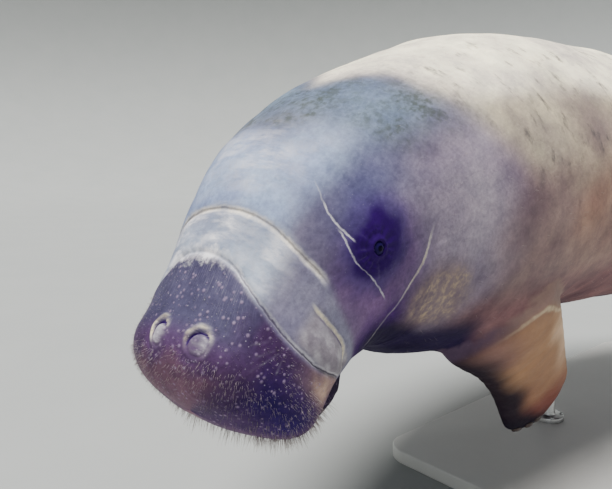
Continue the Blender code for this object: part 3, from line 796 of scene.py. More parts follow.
# Short wrinkles beside the muzzle's edge, and where the pale back begins at a few angles
WRINKLE_LINES = (
    ((0.039, 64), (0.058, 71), (0.073, 75)), ((0.051, 62), (0.064, 69), (0.074, 74)),
    ((0.058, 55), (0.070, 64), (0.076, 71)), ((0.051, 79), (0.064, 77), (0.073, 78)),
)
BACK_START = ((0, 0.337), (14, 0.348), (31, 0.374), (47, 0.390), (63, 0.422), (80, 0.465), (95, 0.52), (180, 0.6))
# The angle from the back at which the dark throat begins, at a few places along the spine; the dark there is mostly
# painted shade of the underside, partly the hide's own darker tone
THROAT = ((0.14, 108), (0.20, 118), (0.24, 124), (0.31, 132), (0.42, 134), (0.53, 150), (0.80, 158))


def mix(base, tone, amount):
    """Colours moved towards a tone by an amount from 0 to 1 at each point."""
    return base + (np.array(TONES[tone]) - base) * np.clip(amount, 0, 1)[:, None]


def paint(base, layers):
    """Colours moved towards one tone after another, each by its own amount."""
    for tone, amount in layers:
        base = mix(base, tone, amount)
    return base


def plain_tone(name, count):
    """One tone at every point."""
    return np.tile(np.array(TONES[name]), (count, 1))


def patchy(points, sharpness, scale, seed):
    """Irregular patches from 0 to 1: 0.5 + 0.5 tanh of waves."""
    return 0.5 + 0.5 * np.tanh(sharpness * wave(points, scale, seed))


def unevenness(points):
    """By what the markings' edges wander: large soft waves, fine waves and small patches from 0 to 1."""
    return wave(points, 0.16, 41), wave(points, 0.035, 42), patchy(points, 2.4, 0.022, 45)


def body_tone(points, s, t):
    """The hide's tone at s and t, painted layer by layer from the trunk to the muzzle, with the masks of the
    muzzle, the ring behind it, the lobe and the pale back. Some layers are painted shade: the lower sides, the
    low cheek, the throat and underside, and the lower sides of the muzzle's disc."""
    a = np.abs(t)
    lines = fold_lines(s, t)
    soft, fine, rough = unevenness(points)
    beyond = step(s + 0.016 * soft - spline(BACK_START, a), -0.024, 0.016 + 0.0008 * a)
    before = 1 - step(lines["brow"][0], -0.004, 0.010)
    lobe = between(s, 0.088, 0.120, 0.008) * between(a, 82, 116, 10)
    throat = np.interp(s, *np.array(THROAT).T)
    disc = 1 - step(lines["muzzle"][0], -0.008, 0.001)
    # the lower sides of the muzzle's disc, which take painted shade
    low = bell(s - 0.030 - 0.004 * fine, 0.026) * step(a + 6 * fine, 62, 84) * (1 - step(a, 108, 128))
    dusky = 0.65 * bell(s - 0.67 - 0.02 * soft, 0.050) * bell(a - 72, 11)
    dusky = dusky + 0.5 * bell(s - 0.455, 0.045) * bell(a - 90, 13)
    tone = paint(plain_tone("base", len(s)), (
        ("side", step(s, 0.24, 0.30)),
        ("flank", step(s + 0.03 * soft + 0.0012 * (a - 80), 0.38, 0.50)),
        ("sand", beyond * (1 - step(a + 9 * soft, 74, 98))),
        ("back", beyond * (1 - step(a + 9 * soft - 14 * step(s, 0.55, 0.80), 36, 60))),
        ("sand", 0.75 * step(s + 0.1 * soft, 0.95, 1.75) * beyond),
        ("rust", 0.60 * step(s + 0.03 * soft, 0.55, 0.64) * bell(a - 92, 22) * (0.8 + 0.2 * soft)),
        ("dusky", dusky),
        ("crown", bell(s - 0.31, 0.09) * (1 - step(a, 40, 62)) * (1 - beyond)),
        ("temple", bell(s - 0.235, 0.060) * bell(a - 56, 17)),
        ("forehead", (1 - step(s + 0.016 * soft, 0.205, 0.262)) * (1 - step(a + 5 * soft, 26, 52))),
        ("ring", before * (1 - step(a, 34, 64))),
        ("ring_low", before * step(a, 40, 66) * (1 - step(a, 122, 136))),
        ("cheek", (1 - before) * bell(s - 0.185, 0.060) * step(a, 58, 80)),
        ("cheek", 0.85 * bell(s - 0.232, 0.034) * bell(a - 88, 16)),
        # painted shade on the low side of the head behind the brow fold
        ("hollow", (1 - before) * (1 - step(s, 0.21, 0.27)) * step(a + 5 * fine, 100, 120)),
        ("lobe", lobe),
        # painted shade on the lower sides of the trunk
        ("chest", step(a + 5 * soft, 112, 130) * step(s, 0.30, 0.42)),
        # painted shade: the throat and underside nearly black
        ("under", step(a + 4 * soft - throat, -9, 7) * step(s, 0.12, 0.18)),
        ("muzzle", disc),
        ("muzzle_top", disc * (1 - step(a + 6 * fine, 34, 66)) * step(s, 0.030, 0.060)),
        ("rim", 0.90 * disc * (1 - step(s + 0.006 * fine, 0.008, 0.028)) * (1 - 0.9 * step(t, 30, 64))),
        # painted shade on the lower sides of the muzzle's disc
        ("muzzle_low", 0.96 * disc * low),
        ("pad", disc * step(s, 0.050, 0.072) * bell(a - 109, 14) * (0.55 + 0.35 * rough)),
    ))
    return tone, disc, before, lobe, beyond


def eye_marks(points, place, sign, marks):
    """The dark patch round an eye with its halo, the hide's own dark colour and painted shade of the hollow the eye
    sits in, and pale rays and short wrinkles beside it.
    """
    _, fine, rough = unevenness(points)
    pale, dark = marks["pale"], marks["dark"]
    for path in WRINKLE_LINES:
        near = bell(from_path(points, [(u, sign * v) for u, v in path]), 0.0009)
        pale = np.maximum(pale, 0.20 * near * (0.4 + 0.6 * rough))
    far, _, y, angle = polar(points, place)
    d = points - plain(EYE_PATCH[0], sign * EYE_PATCH[1])
    _, across, ahead, out = place
    reach = np.sqrt(((d @ ahead) / 0.042) ** 2 + ((d @ across) / 0.038) ** 2 + ((d @ out) / 0.05) ** 2)
    reach = reach * (1 + 0.04 * np.sin(angle * 2 + 0.6) + 0.09 * fine)
    # the dark patch and its halo: the hide's own dark colour and painted shade of the hollow the eye sits in
    marks["tone"] = mix(marks["tone"], "halo", 0.8 * (1 - step(reach, 0.9, 1.7)))
    dark = np.maximum(dark, 0.975 * (1 - step(reach, 0.58, 1.22)))
    lower = step(y, -0.010, 0.012)
    rays = np.clip(np.sin(angle * 15 + 1.5 * np.sin(angle * 4)), 0, 1) ** 2 * bell(far - 0.0210, 0.0085)
    pale = np.maximum(pale * (1 - 0.6 * bell(far, 0.03)), 0.17 * rays * (0.10 + 0.90 * lower))
    marks["pale"] = np.maximum(pale, 0.03 * bell(far - 0.0098, 0.0013))
    marks["dark"] = dark * (1 - 0.30 * rays * lower)


def nostril_marks(points, place, shape, marks):
    """A nostril's pale tan rim, its grey plug and the dark slit above the plug, painted shade in the slit."""
    rough = unevenness(points)[2]
    rim, plug, far, lean = nostril_rings(points, place, shape)
    inside = 1 - step(far, 0.013, 0.018)
    edge = bell(rim, 0.0025) * (0.12 + 0.88 * step(lean, -0.5, 0.5)) * (0.75 + 0.25 * rough)
    pale = np.maximum(marks["pale"] * (1 - inside), edge)
    marks["pale"] = np.maximum(pale, 0.40 * (1 - step(plug, -0.003, 0.0)) * (0.7 + 0.3 * rough))
    marks["tan"] = np.maximum(marks["tan"], edge)
    # painted shade in the slit above the plug
    slit = 0.95 * bell(plug, 0.0014) * step(lean, -0.45, 0.25)
    marks["dark"] = np.maximum(marks["dark"] * (1 - inside), slit)


def body_marks(points, s, t):
    """Markings of head and body at s and t: a tone, and how pale, dark, tan, green, streaked, pored, speckled
    and dashed the hide is. The dark is mostly painted shade, and the pale holds a painted highlight on the forehead."""
    a = np.abs(t)
    lines = fold_lines(s, t)
    soft, fine, rough = unevenness(points)
    patches = 0.35 + 0.65 * patchy(points, 2.6, 0.060, 43)
    tone, disc, before, lobe, beyond = body_tone(points, s, t)
    pale = 0.66 * before * (1 - disc) * (1 - step(a, 24, 62)) * patches
    # painted highlight: pale streaks of light along the top of the forehead
    pale = np.maximum(pale, 0.42 * bell(s - 0.208, 0.034) * (1 - step(a, 18, 46)) * patches)
    pale = np.maximum(pale, 0.20 * lobe * rough)
    # painted shade: dark lines beside the overlapping cheek and neck folds
    dark = 0.55 * lines["cheek"][1] * bell(lines["cheek"][0] + 0.0024, 0.0020)
    dark = np.maximum(dark, 0.50 * lines["neck"][1] * bell(lines["neck"][0] + 0.0042, 0.0030) * step(a, 92, 108))
    marks = {"tone": tone, "pale": pale, "dark": dark, "tan": np.zeros(len(s))}
    for sign, place in zip((1, -1), EYES.values()):
        eye_marks(points, place, sign, marks)
    for place, shape in zip(NOSTRILS, NOSTRIL_SHAPES):
        nostril_marks(points, place, shape, marks)
    # the speckled patch behind the jaw, with a paler arc at its back
    oval = np.hypot((s - 0.298) / 0.062, (a - 118) / 16)
    marks["tone"] = mix(marks["tone"], "patch", 0.75 * (1 - step(oval, 0.75, 1.45)))
    speckle = (1 - step(oval, 0.55, 1.05)) * (0.55 + 0.45 * rough)
    marks["speckle"] = np.maximum(speckle, 0.9 * bell(oval - 0.93, 0.12) * step(s, 0.30, 0.34))
    marks["tan"] = np.maximum(marks["tan"], marks["speckle"])
    green = step(s + 0.012 * soft - 0.0007 * a, 0.228, 0.258) * (1 - beyond)
    marks["green"] = green * (1 - step(a, 48, 66)) * (0.85 + 0.3 * soft)
    marks["dash"] = beyond * step(a, 6, 30) * (1 - step(a, 78, 104))
    upward = step(lines["muzzle"][0] + 0.008 * fine, -0.056, -0.022)
    marks["streak"] = disc * (1 - step(a, 26, 54)) * upward
    marks["pores"] = disc
    return marks


def from_path(points, path):
    """Distance of each point from a line through places given as s and t."""
    near = np.full(points.shape[:-1], 9.0)
    corners = plain(*np.array(path).T)
    for a, b in zip(corners, corners[1:]):
        way = b - a
        u = np.clip((points - a) @ way / way.dot(way), 0, 1)
        near = np.minimum(near, np.linalg.norm(points - a - u[..., None] * way, axis=-1))
    return near


def flipper_place(points, word):
    """Each point's share of the flipper's length, and its part along the chord and across it as shares of the
    half chord and half thickness."""
    root, aim, chord, face = flipper_axes(word)
    d = points - root
    share = np.clip(d @ aim / (FLIPPER_LENGTH + FLIPPER_SUNK), 0, 1)
    half_chord, half_thick = flipper_halves(share)
    c = (d @ chord - share**2 * FLIPPER_BEND[0]) / half_chord
    f = (d @ face - share**2 * FLIPPER_BEND[1]) / half_thick
    ring = np.maximum(np.hypot(c, f), 0.01)
    return share, c / ring, f / ring


def body_distance(points):
    """Distance of points about the flippers' roots from the body's section beside them."""
    s = np.linspace(0.35, 0.85, 101)
    places = spine("place", s)
    best = s[np.argmin(((points[:, None, :] - places[None]) ** 2).sum(-1), 1)]
    d = points - spine("place", best)
    x = np.einsum("ij,ij->i", d, spine("left", best))
    z = np.einsum("ij,ij->i", d, spine("up", best))
    ring = np.hypot(x / section(WIDTH, best), z / np.where(z > 0, section(RISE, best), section(DROP, best)))
    return np.clip(np.hypot(x, z) * (1 - 1 / np.maximum(ring, 0.01)), -0.01, 0.06)


def flipper_tone(points, share, trailing, facing, root):
    """The flippers' tone: brown with a painted highlight along the trailing edge, reddish and then painted shade
    towards the tip, painted shade along the leading edge, below and at the root's leading side, and the hide's own
    tone down to a crease a little below the root."""
    leading = -trailing
    cloud = wave(points, 0.11, 51)
    near = 1 - step(root + 0.004 * cloud, 0.020, 0.033)
    return paint(plain_tone("flipper", len(points)), (
        # painted highlight along the trailing edge
        ("flipper_rim", 0.95 * step(trailing + 0.12 * cloud, 0.30, 0.85) * bell(share - 0.40, 0.20)),
        ("flipper_red", step(share + 0.05 * cloud + 0.10 * leading, 0.50, 0.84)),
        # painted shade at the leading side of the root
        ("chest", 0.7 * (1 - step(share, 0.14, 0.34)) * step(leading, -0.1, 0.6)),
        # painted shade along the leading edge, at the tip and on the inner face
        ("flipper_dark", 0.96 * step(leading + 0.10 * cloud + 0.55 * (share - 0.5), 0.18, 0.76)),
        ("flipper_dark", 0.94 * step(share + 0.16 * leading, 0.82, 0.98)),
        ("flipper_dark", 0.85 * step(-facing, 0.0, 0.7)),
        ("flank", 0.8 * near * (1 - step(leading, 0.0, 0.7))),
        # painted shade at the leading side of the root
        ("dusky", 0.8 * near * step(leading, -0.2, 0.7)),
    ))


def fan_lines(points, s):
    """Places in which the muzzle's streaks run straight: lines that draw together towards its top."""
    d = points - np.array(MUZZLE_FRONT)
    wide, high = d @ spine("left", 0.0), d @ spine("up", 0.0)
    return np.stack([wide / np.maximum(0.25 - high, 0.1), 0.50 * high, 0.30 * s], -1)


def mark(mesh, points, kind, s, t):
    """Works out every marking of the skin and stores it on the mesh's points."""
    on_body = kind < 1
    on_jaw = kind > (KIND_RIGHT + KIND_JAW) / 2
    on_flipper = ~on_body & ~on_jaw
    count = len(s)
    b_s = np.where(on_body, s, 0.5)
    b_t = np.where(on_body, t, 170.0)
    marks = body_marks(points, b_s, b_t)
    places = (flipper_place(points, word) for word in ("left", "right"))
    share, trailing, facing = (np.where(points[:, 0] > 0, u, v) for u, v in zip(*places))
    root = body_distance(points)
    flip_tone = flipper_tone(points, share, trailing, facing, root)
    tone = np.where(on_flipper[:, None], flip_tone, marks["tone"])
    # the lower jaw takes its near-black painted shade
    tone = np.where(on_jaw[:, None], plain_tone("jaw", count), tone)
    # painted highlight: a faint pale sheen on the outer face near the flippers' trailing edge
    trailing_highlight = 0.05 * bell(trailing - 0.80, 0.35) * bell(share - 0.36, 0.16) * step(facing, 0, 0.4)
    lay = section_place(points, b_s)
    lay = np.where(on_flipper[:, None], section_place(points, np.full(count, FLIPPERS["left"]["at"][0])), lay)
    lay = np.where(on_jaw[:, None], section_place(points, np.full(count, JAW_AT)), lay)
    for name in ("kind", "s", "turned", "side"):
        mesh.attributes.remove(mesh.attributes[name])
    put(mesh, "tone", np.column_stack([tone, np.ones(count)]))
    other = {"pale": on_flipper * trailing_highlight, "pores": 0.6 * on_jaw, "tan": 0.8 * on_flipper}
    for name in ("pale", "dark", "tan", "green", "streak", "pores", "speckle", "dash"):
        put(mesh, name, np.clip(np.where(on_body, marks[name], other.get(name, 0.0)), 0, 1))
    put(mesh, "lay", lay)
    put(mesh, "fan", fan_lines(points, b_s))
    # distances across the folds, how strongly each shows, how wide the first one is, and the flippers' roots
    lines = fold_lines(b_s, b_t)
    for label, three in (("a", FOLD_NAMES[:3]), ("b", FOLD_NAMES[3:])):
        put(mesh, f"folds_{label}", np.stack([np.where(on_body, lines[name][0], 0.05) for name in three], -1))
        put(mesh, f"shows_{label}", np.stack([np.where(on_body, lines[name][1], 0.0) for name in three], -1))
    broad = bell(b_t + 6, 27) * on_body
    root = np.where(on_flipper, root, -0.01)
    put(mesh, "extra", np.stack([broad, root, on_flipper * step(trailing, -0.7, 0.4)], -1))


# Materials


class Wire:
    """An output in a shader tree; arithmetic on it adds Math nodes."""

    def __init__(self, tree, socket):
        self.tree = tree
        self.socket = socket

    def __add__(self, other):
        return self.tree.maths("ADD", self, other)

    def __sub__(self, other):
        return self.tree.maths("SUBTRACT", self, other)

    def __rsub__(self, other):
        return self.tree.maths("SUBTRACT", other, self)

    def __mul__(self, other):
        return self.tree.maths("MULTIPLY", self, other)

    def clamped(self):
        """The same result, kept from 0 to 1 by its Math node."""
        self.socket.node.use_clamp = True
        return self


class Tree:
    """A shader node tree with short ways to add nodes. What each way gives back is a Wire."""

    def __init__(self, tree):
        self.tree = tree

    def node(self, kind, inputs, **settings):
        """Adds a node, links or sets its inputs, and gives its outputs by number and by name."""
        made = self.tree.nodes.new(kind)
        made.location = (0, -60 * len(self.tree.nodes))
        for name, value in settings.items():
            setattr(made, name, value)
        for key, value in inputs.items():
            self.connect(value, made.inputs[key])
        return {key: Wire(self, socket) for i, socket in enumerate(made.outputs) for key in (i, socket.name)}

    def connect(self, value, socket):
        """Links a Wire to a socket, or sets the socket to a plain value."""
        if isinstance(value, Wire):
            self.tree.links.new(value.socket, socket)
        else:
            socket.default_value = value

    def maths(self, operation, first, second=0.0):
        """One arithmetic step on two numbers."""
        return self.node("ShaderNodeMath", {0: first, 1: second}, operation=operation)[0]

    def most(self, first, *others):
        """The largest of some numbers."""
        for other in others:
            first = self.maths("MAXIMUM", first, other)
        return first

    def mix(self, amount, first, second, how="MIX"):
        """Two colours mixed by an amount."""
        return self.node("ShaderNodeMix", {0: amount, 6: first, 7: second}, data_type="RGBA", blend_type=how)[2]

    def ranged(self, value, low, high, to_low=0.0, to_high=1.0):
        """A value carried smoothly from one range to another and kept inside it."""
        inputs = {0: value, 1: low, 2: high, 3: to_low, 4: to_high}
        return self.node("ShaderNodeMapRange", inputs, interpolation_type="SMOOTHSTEP")[0]

    def noise(self, vector, scale, detail, roughness=0.5, key="Fac"):
        """Fractal noise, as a number or as a colour."""
        inputs = {"Vector": vector, "Scale": scale, "Detail": detail, "Roughness": roughness}
        return self.node("ShaderNodeTexNoise", inputs)[key]

    def vector(self, operation, inputs):
        """One arithmetic step on vectors."""
        return self.node("ShaderNodeVectorMath", inputs, operation=operation)[0]

    def split(self, vector):
        """The three numbers of a vector."""
        parts = self.node("ShaderNodeSeparateXYZ", {"Vector": vector})
        return [parts[i] for i in range(3)]

    def use(self, shared, **inputs):
        """The outputs of a node group placed with its own values."""
        return self.node("ShaderNodeGroup", inputs, node_tree=shared)

    def mottle(self, vector, scale, softness):
        """Cloudy patches, from the group made by fill_mottle."""
        return self.use(MOTTLE, Vector=vector, Scale=scale, Softness=softness)[0]

    def flecks(self, vector, scale, size, share):
        """Round spots, from the group made by fill_flecks."""
        return self.use(FLECKS, Vector=vector, Scale=scale, Size=size, Share=share)[0]

    def read(self, name, key="Fac"):
        """A value stored on the mesh's points."""
        return self.node("ShaderNodeAttribute", {}, attribute_name=name)[key]

    def place(self):
        """The point's place on its object, in metres."""
        return self.node("ShaderNodeTexCoord", {})["Object"]

    def bump(self, height, strength, distance):
        """A normal bent by a height."""
        return self.node("ShaderNodeBump", {"Height": height, "Strength": strength, "Distance": distance})[0]


def band(tree, distance, middle, width, shows):
    """A line at some distance from a fold's middle, fading over its width, times how strongly it shows."""
    away = tree.maths("DIVIDE", tree.maths("ABSOLUTE", distance - middle), width)
    return tree.ranged(away, 0.15, 1.0, 1.0, 0.0) * shows


def group(name, vectors, numbers, outputs, fill, colours=()):
    """A shader node group; numbers are (name, value) pairs, and fill makes its nodes and returns its outputs."""
    tree = bpy.data.node_groups.new(name, "ShaderNodeTree")
    sockets = [(label, "NodeSocketVector", None) for label in vectors]
    sockets += [(label, "NodeSocketColor", value) for label, value in colours]
    sockets += [(label, "NodeSocketFloat", value) for label, value in numbers]
    for label, kind, value in sockets:
        made = tree.interface.new_socket(label, in_out="INPUT", socket_type=kind)
        if value is not None:
            made.default_value = value
    for label, kind in outputs:
        tree.interface.new_socket(label, in_out="OUTPUT", socket_type=kind)
    entry = tree.nodes.new("NodeGroupInput")
    leave = tree.nodes.new("NodeGroupOutput")
    inner = Tree(tree)
    given = {label: Wire(inner, entry.outputs[label]) for label, _, _ in sockets}
    for socket, result in zip(leave.inputs, fill(inner, given)):
        inner.connect(result, socket)
    return tree


def fill_mottle(tree, given):
    """Cloudy light and dark patches with a soft or hard edge."""
    clouds = tree.noise(given["Vector"], given["Scale"], 6.0, 0.62)
    return [tree.ranged(clouds, 0.5 - given["Softness"], given["Softness"] + 0.5)]


def fill_flecks(tree, given):
    """Small round spots, one in each cell of a Voronoi pattern, some of them left out."""
    inputs = {"Vector": given["Vector"], "Scale": given["Scale"], "Randomness": 0.9}
    cells = tree.node("ShaderNodeTexVoronoi", inputs)
    drawn = tree.node("ShaderNodeSeparateColor", {"Color": cells["Color"]})
    size = given["Size"] * (drawn[1] + 0.4)
    spot = tree.ranged(cells["Distance"], size * 0.2, size, 1.0, 0.0)
    return [spot * tree.maths("LESS_THAN", drawn[0], given["Share"])]


def fill_wrinkles(tree, given):
    """Height of fine crossing wrinkles and pebbling of the hide."""
    vector, scale = given["Vector"], given["Scale"]
    push = tree.vector("SCALE", {0: tree.noise(vector, scale, 3.0, 0.6, "Color"), "Scale": 0.012})
    moved = tree.vector("ADD", {0: vector, 1: push})
    cells = tree.node("ShaderNodeTexVoronoi", {"Vector": moved, "Scale": scale}, feature="DISTANCE_TO_EDGE")
    return [tree.ranged(cells["Distance"], 0.0, 0.22) * 0.5 + tree.noise(vector, scale * 4.0, 4.0, 0.7)]


def clouded(tree, given, small, grain):
    """The tone with large soft clouds, smaller lighter ones and a fine dark grain."""
    tone = given["Tone"]
    darker = tree.mix(1.0, tone, (0.62, 0.58, 0.70, 1), "MULTIPLY")
    lighter = tree.mix(0.012, tree.mix(1.0, tone, (1.34, 1.34, 1.28, 1), "MULTIPLY"), (0.80, 0.82, 0.84, 1))
    # the flippers' hide is calmer, and the trunk's grain weaker than the head's
    calm = 1.0 - given["Tan"] * 0.75
    clouds = tree.mottle(given["Lay"], 7.0, 0.22)
    color = tree.mix((clouds - 0.5) * calm + 0.5, darker, lighter)
    color = tree.mix(small * 0.55 * calm, color, tree.mix(1.0, color, (1.55, 1.50, 1.42, 1), "MULTIPLY"))
    backward = tree.split(given["Lay"])[2]
    grainy = tree.ranged(backward, NECK_START, 0.50, 0.62, 0.30) * calm
    return tree.mix(grain * grainy, color, tree.mix(1.0, color, (0.55, 0.53, 0.57, 1), "MULTIPLY"))


def speckled(tree, given, color, small):
    """Streaks that run up the muzzle, fine pale dots all over, and larger ones where bristles stand."""
    streaks = tree.ranged(tree.noise(given["Fan"], 230.0, 3.0), 0.50, 0.70) * given["Streak"] * 0.17
    color = tree.mix(streaks, color, STREAK_COLOR)
    dust = tree.flecks(given["Lay"], 330.0, 0.24, 0.30) * (given["Pores"] * 0.26 + 0.10)
    color = tree.mix(dust, color, DUST_COLOR)
    dots = tree.flecks(given["Lay"], *DOTS) * (small * 0.50 + 0.30)
    return tree.mix((dots * given["Pores"]).clamped(), color, DOT_COLOR)


def algae(tree, given):
    """How thick the algae is: large and small patches with a fine grain, never quite bare between them."""
    lay = given["Lay"]
    weed = tree.most(tree.mottle(lay, 14.0, 0.07), tree.mottle(lay, 42.0, 0.06) * 0.85, 0.50)
    return weed * (tree.mottle(lay, 120.0, 0.10) * 0.50 + 0.50) * given["Green"]


def dashes(tree, given, grain):
    """Short dark dashes that lie round the body."""
    combed = tree.vector("MULTIPLY", {0: given["Lay"], 1: (0.50, 0.50, 1.0)})
    lines = tree.ranged(tree.noise(combed, 52.0, 4.0, 0.6), 0.545, 0.73)
    return lines * given["Dash"] * (grain * 0.3 + 0.55)


def fold_bands(tree, given, small, swing):
    """The pale ragged bands along the folds and the flippers' roots, and the dark cores of the first two folds,
    painted shade in their grooves.
    """
    ragged = tree.noise(given["Lay"], 130.0, 4.0, 0.65)
    push = (ragged - 0.5) * 0.0030 + (swing - 0.5) * 0.0022
    away = dict(zip(FOLD_NAMES, tree.split(given["FoldsA"]) + tree.split(given["FoldsB"])))
    shows = dict(zip(FOLD_NAMES, tree.split(given["ShowsA"]) + tree.split(given["ShowsB"])))
    broad, root, on_flipper = tree.split(given["Extra"])
    away = {name: distance + push for name, distance in away.items()}
    bands = {
        name: band(tree, away[name], middle, width, shows[name]) * strength
        for name, (middle, width, strength) in PALE_BANDS.items()
    }
    # the first fold's band is broad, strong and torn on top of the muzzle
    wild = away["muzzle"] + push * (broad * 7.0)
    first = band(tree, wild, 0.0008, broad * 0.0095 + 0.0034, shows["muzzle"]) * (broad * 0.55 + 0.50)
    bands["muzzle"] = first * (small * 0.6 + 0.55)
    bands["root"] = band(tree, root + push, ROOT_CREASE, 0.0030, on_flipper) * 0.42
    # painted shade in the grooves of the first two folds
    crease_shade = tree.most(
        band(tree, away["muzzle"], 0.0, 0.0017, shows["muzzle"]) * (0.78 - broad * 0.70),
        band(tree, away["brow"], 0.0012, 0.0013, shows["brow"]) * 0.45,
    )
    return bands, crease_shade


def fill_hide(tree, given):
    """The hide's colour: its tone with clouds, pale scraped bands, painted highlights, painted shade in the folds and
    round the eyes, streaks, pores, algae, specks.
    """
    lay = given["Lay"]
    small = tree.mottle(lay, 34.0, 0.20)
    grain = tree.mottle(lay, 190.0, 0.22)
    swing = tree.noise(lay, 32.0, 2.0)
    color = speckled(tree, given, clouded(tree, given, small, grain), small)
    weed = algae(tree, given)
    color = tree.mix((weed * 0.88).clamped(), color, WEED_COLOR)
    color = tree.mix(dashes(tree, given, grain), color, DASH_COLOR)
    bands, crease_shade = fold_bands(tree, given, small, swing)
    # pale patches, partly scraped skin and partly painted highlight, with finer streaks that lie round the body
    scuffs_and_highlights = tree.mottle(tree.vector("MULTIPLY", {0: lay, 1: (0.24, 0.5, 1.0)}), 75.0, 0.10)
    scrapes_and_highlights = given["Pale"] * (scuffs_and_highlights * 1.15 + 0.28)
    torn = (small * 0.45 + grain * 0.40 + 0.30) * (swing * 1.6 + 0.25)
    pale = (tree.most(scrapes_and_highlights, *bands.values()) * torn).clamped()
    cream = tree.most(given["Tan"], bands["neck"], bands["cheek"] * 0.8, bands["brow"] * 0.45, bands["root"])
    color = tree.mix(pale, color, tree.mix(cream, PALE_COLOR, CREAM_COLOR))
    # painted shade in the grooves of the first two folds
    color = tree.mix(crease_shade, color, CREASE_SHADE_COLOR)
    # the speckled patch behind the jaw
    broken = tree.mottle(lay, 75.0, 0.20)
    specks = tree.mottle(lay, 185.0, 0.17) * broken * 0.72 + (broken * 0.16 + small * 0.12)
    color = tree.mix((specks * given["Speckle"]).clamped(), color, SPECK_COLOR)
    # dark patches, uneven at their edges, that leave the fine lines by the eye their tone: painted shade round the
    # eyes, beside the cheek and neck folds and in the nostrils' slits, with the hide's own dark colour round the eyes
    lit = 1.0 - tree.most(bands["eye"], bands["scar"]) * 0.8
    dark = tree.ranged(given["Dark"] * lit + (small - 0.5) * 0.26, 0.14, 0.86)
    return [tree.mix(dark, color, DARK_COLOR), weed]


STREAK_COLOR = (0.52, 0.49, 0.62, 1)
DUST_COLOR = (0.66, 0.64, 0.70, 1)
DOT_COLOR = (0.33, 0.24, 0.37, 1)
WEED_COLOR = (0.058, 0.066, 0.046, 1)
DASH_COLOR = (0.080, 0.074, 0.078, 1)
PALE_COLOR = (0.93, 0.90, 0.94, 1)
CREAM_COLOR = (0.90, 0.74, 0.40, 1)
# painted shade in the folds' grooves
CREASE_SHADE_COLOR = (0.030, 0.018, 0.050, 1)
SPECK_COLOR = (0.52, 0.39, 0.25, 1)
# painted shade round the eyes, beside the folds and in the nostrils' slits, with the hide's own dark colour round the
# eyes
DARK_COLOR = (0.021, 0.001, 0.085, 1)
# The muzzle's dots: scale, size and share of cells that have one
DOTS = (170.0, 0.34, 0.95)
# Each fold's pale band: its middle across the fold, its half width and its strength
PALE_BANDS = {
    "brow": (0.0, 0.0056, 0.85),
    "cheek": (0.0012, 0.0030, 0.85),
    "eye": (0.0, 0.0015, 0.60),
    "scar": (0.0, 0.0014, 0.62),
    "neck": (0.0, 0.0026, 0.70),
}

MOTTLE = group(
    "mottle", ["Vector"], [("Scale", 10.0), ("Softness", 0.2)], [("Mask", "NodeSocketFloat")], fill_mottle
)
FLECKS = group(
    "flecks", ["Vector"], [("Scale", 100.0), ("Size", 0.4), ("Share", 0.5)], [("Mask", "NodeSocketFloat")],
    fill_flecks,
)
WRINKLES = group("wrinkles", ["Vector"], [("Scale", 60.0)], [("Height", "NodeSocketFloat")], fill_wrinkles)
HIDE_VECTORS = ("Lay", "Fan", "FoldsA", "FoldsB", "ShowsA", "ShowsB", "Extra")
HIDE_NUMBERS = ("Pale", "Dark", "Tan", "Green", "Streak", "Pores", "Speckle", "Dash")
HIDE = group(
    "hide", HIDE_VECTORS, [(name, 0.0) for name in HIDE_NUMBERS],
    [("Color", "NodeSocketColor"), ("Weed", "NodeSocketFloat")], fill_hide, [("Tone", (0.4, 0.4, 0.4, 1))],
)


def new_material(name, roughness=0.5, metallic=0.0, specular=0.5):
    """A material, its tree and its shader, both to be wired up."""
    material = bpy.data.materials.new(name)
    material.use_nodes = True
    shader = material.node_tree.nodes["Principled BSDF"].inputs
    shader["Roughness"].default_value = roughness
    shader["Metallic"].default_value = metallic
    shader["Specular IOR Level"].default_value = specular
    return material, Tree(material.node_tree), shader


def skin_material():
    """Wet-looking hide: markings from the points' values, roughness and fine relief from noise."""
    material, tree, shader = new_material("hide", specular=0.09)
    lay = tree.read("lay", "Vector")
    stored = {name: tree.read(name.lower()) for name in HIDE_NUMBERS}
    for name, label in zip(HIDE_VECTORS[1:], ("fan", "folds_a", "folds_b", "shows_a", "shows_b", "extra")):
        stored[name] = tree.read(label, "Vector")
    hide = tree.use(HIDE, Lay=lay, Tone=tree.read("tone", "Color"), **stored)
    tree.connect(hide["Color"], shader["Base Color"])
    rough = tree.mottle(lay, 26.0, 0.3) * 0.16 + 0.50
    tree.connect(rough + hide["Weed"] * 0.2, shader["Roughness"])
    fine, coarse = (tree.use(WRINKLES, Vector=lay, Scale=scale)[0] for scale in (85.0, 24.0))
    pits = tree.flecks(lay, *DOTS) * stored["Pores"]
    height = fine * 0.30 + coarse * 0.70 + pits * 0.8
    tree.connect(tree.bump(height, 0.5, 0.0014), shader["Normal"])
    return material


def hair_material():
    """Pale bristles that take part of the hide's tone at their root."""
    material, tree, shader = new_material("bristle", roughness=0.38)
    strand = tree.mottle(tree.read("lay", "Vector"), 60.0, 0.3)
    pale = tree.mix(strand, (0.30, 0.24, 0.23, 1), (0.52, 0.45, 0.40, 1))
    amount = tree.ranged(tree.read("tip"), 0.0, 0.7, 0.35, 0.95)
    tree.connect(tree.mix(amount, tree.read("tone", "Color"), pale), shader["Base Color"])
    return material


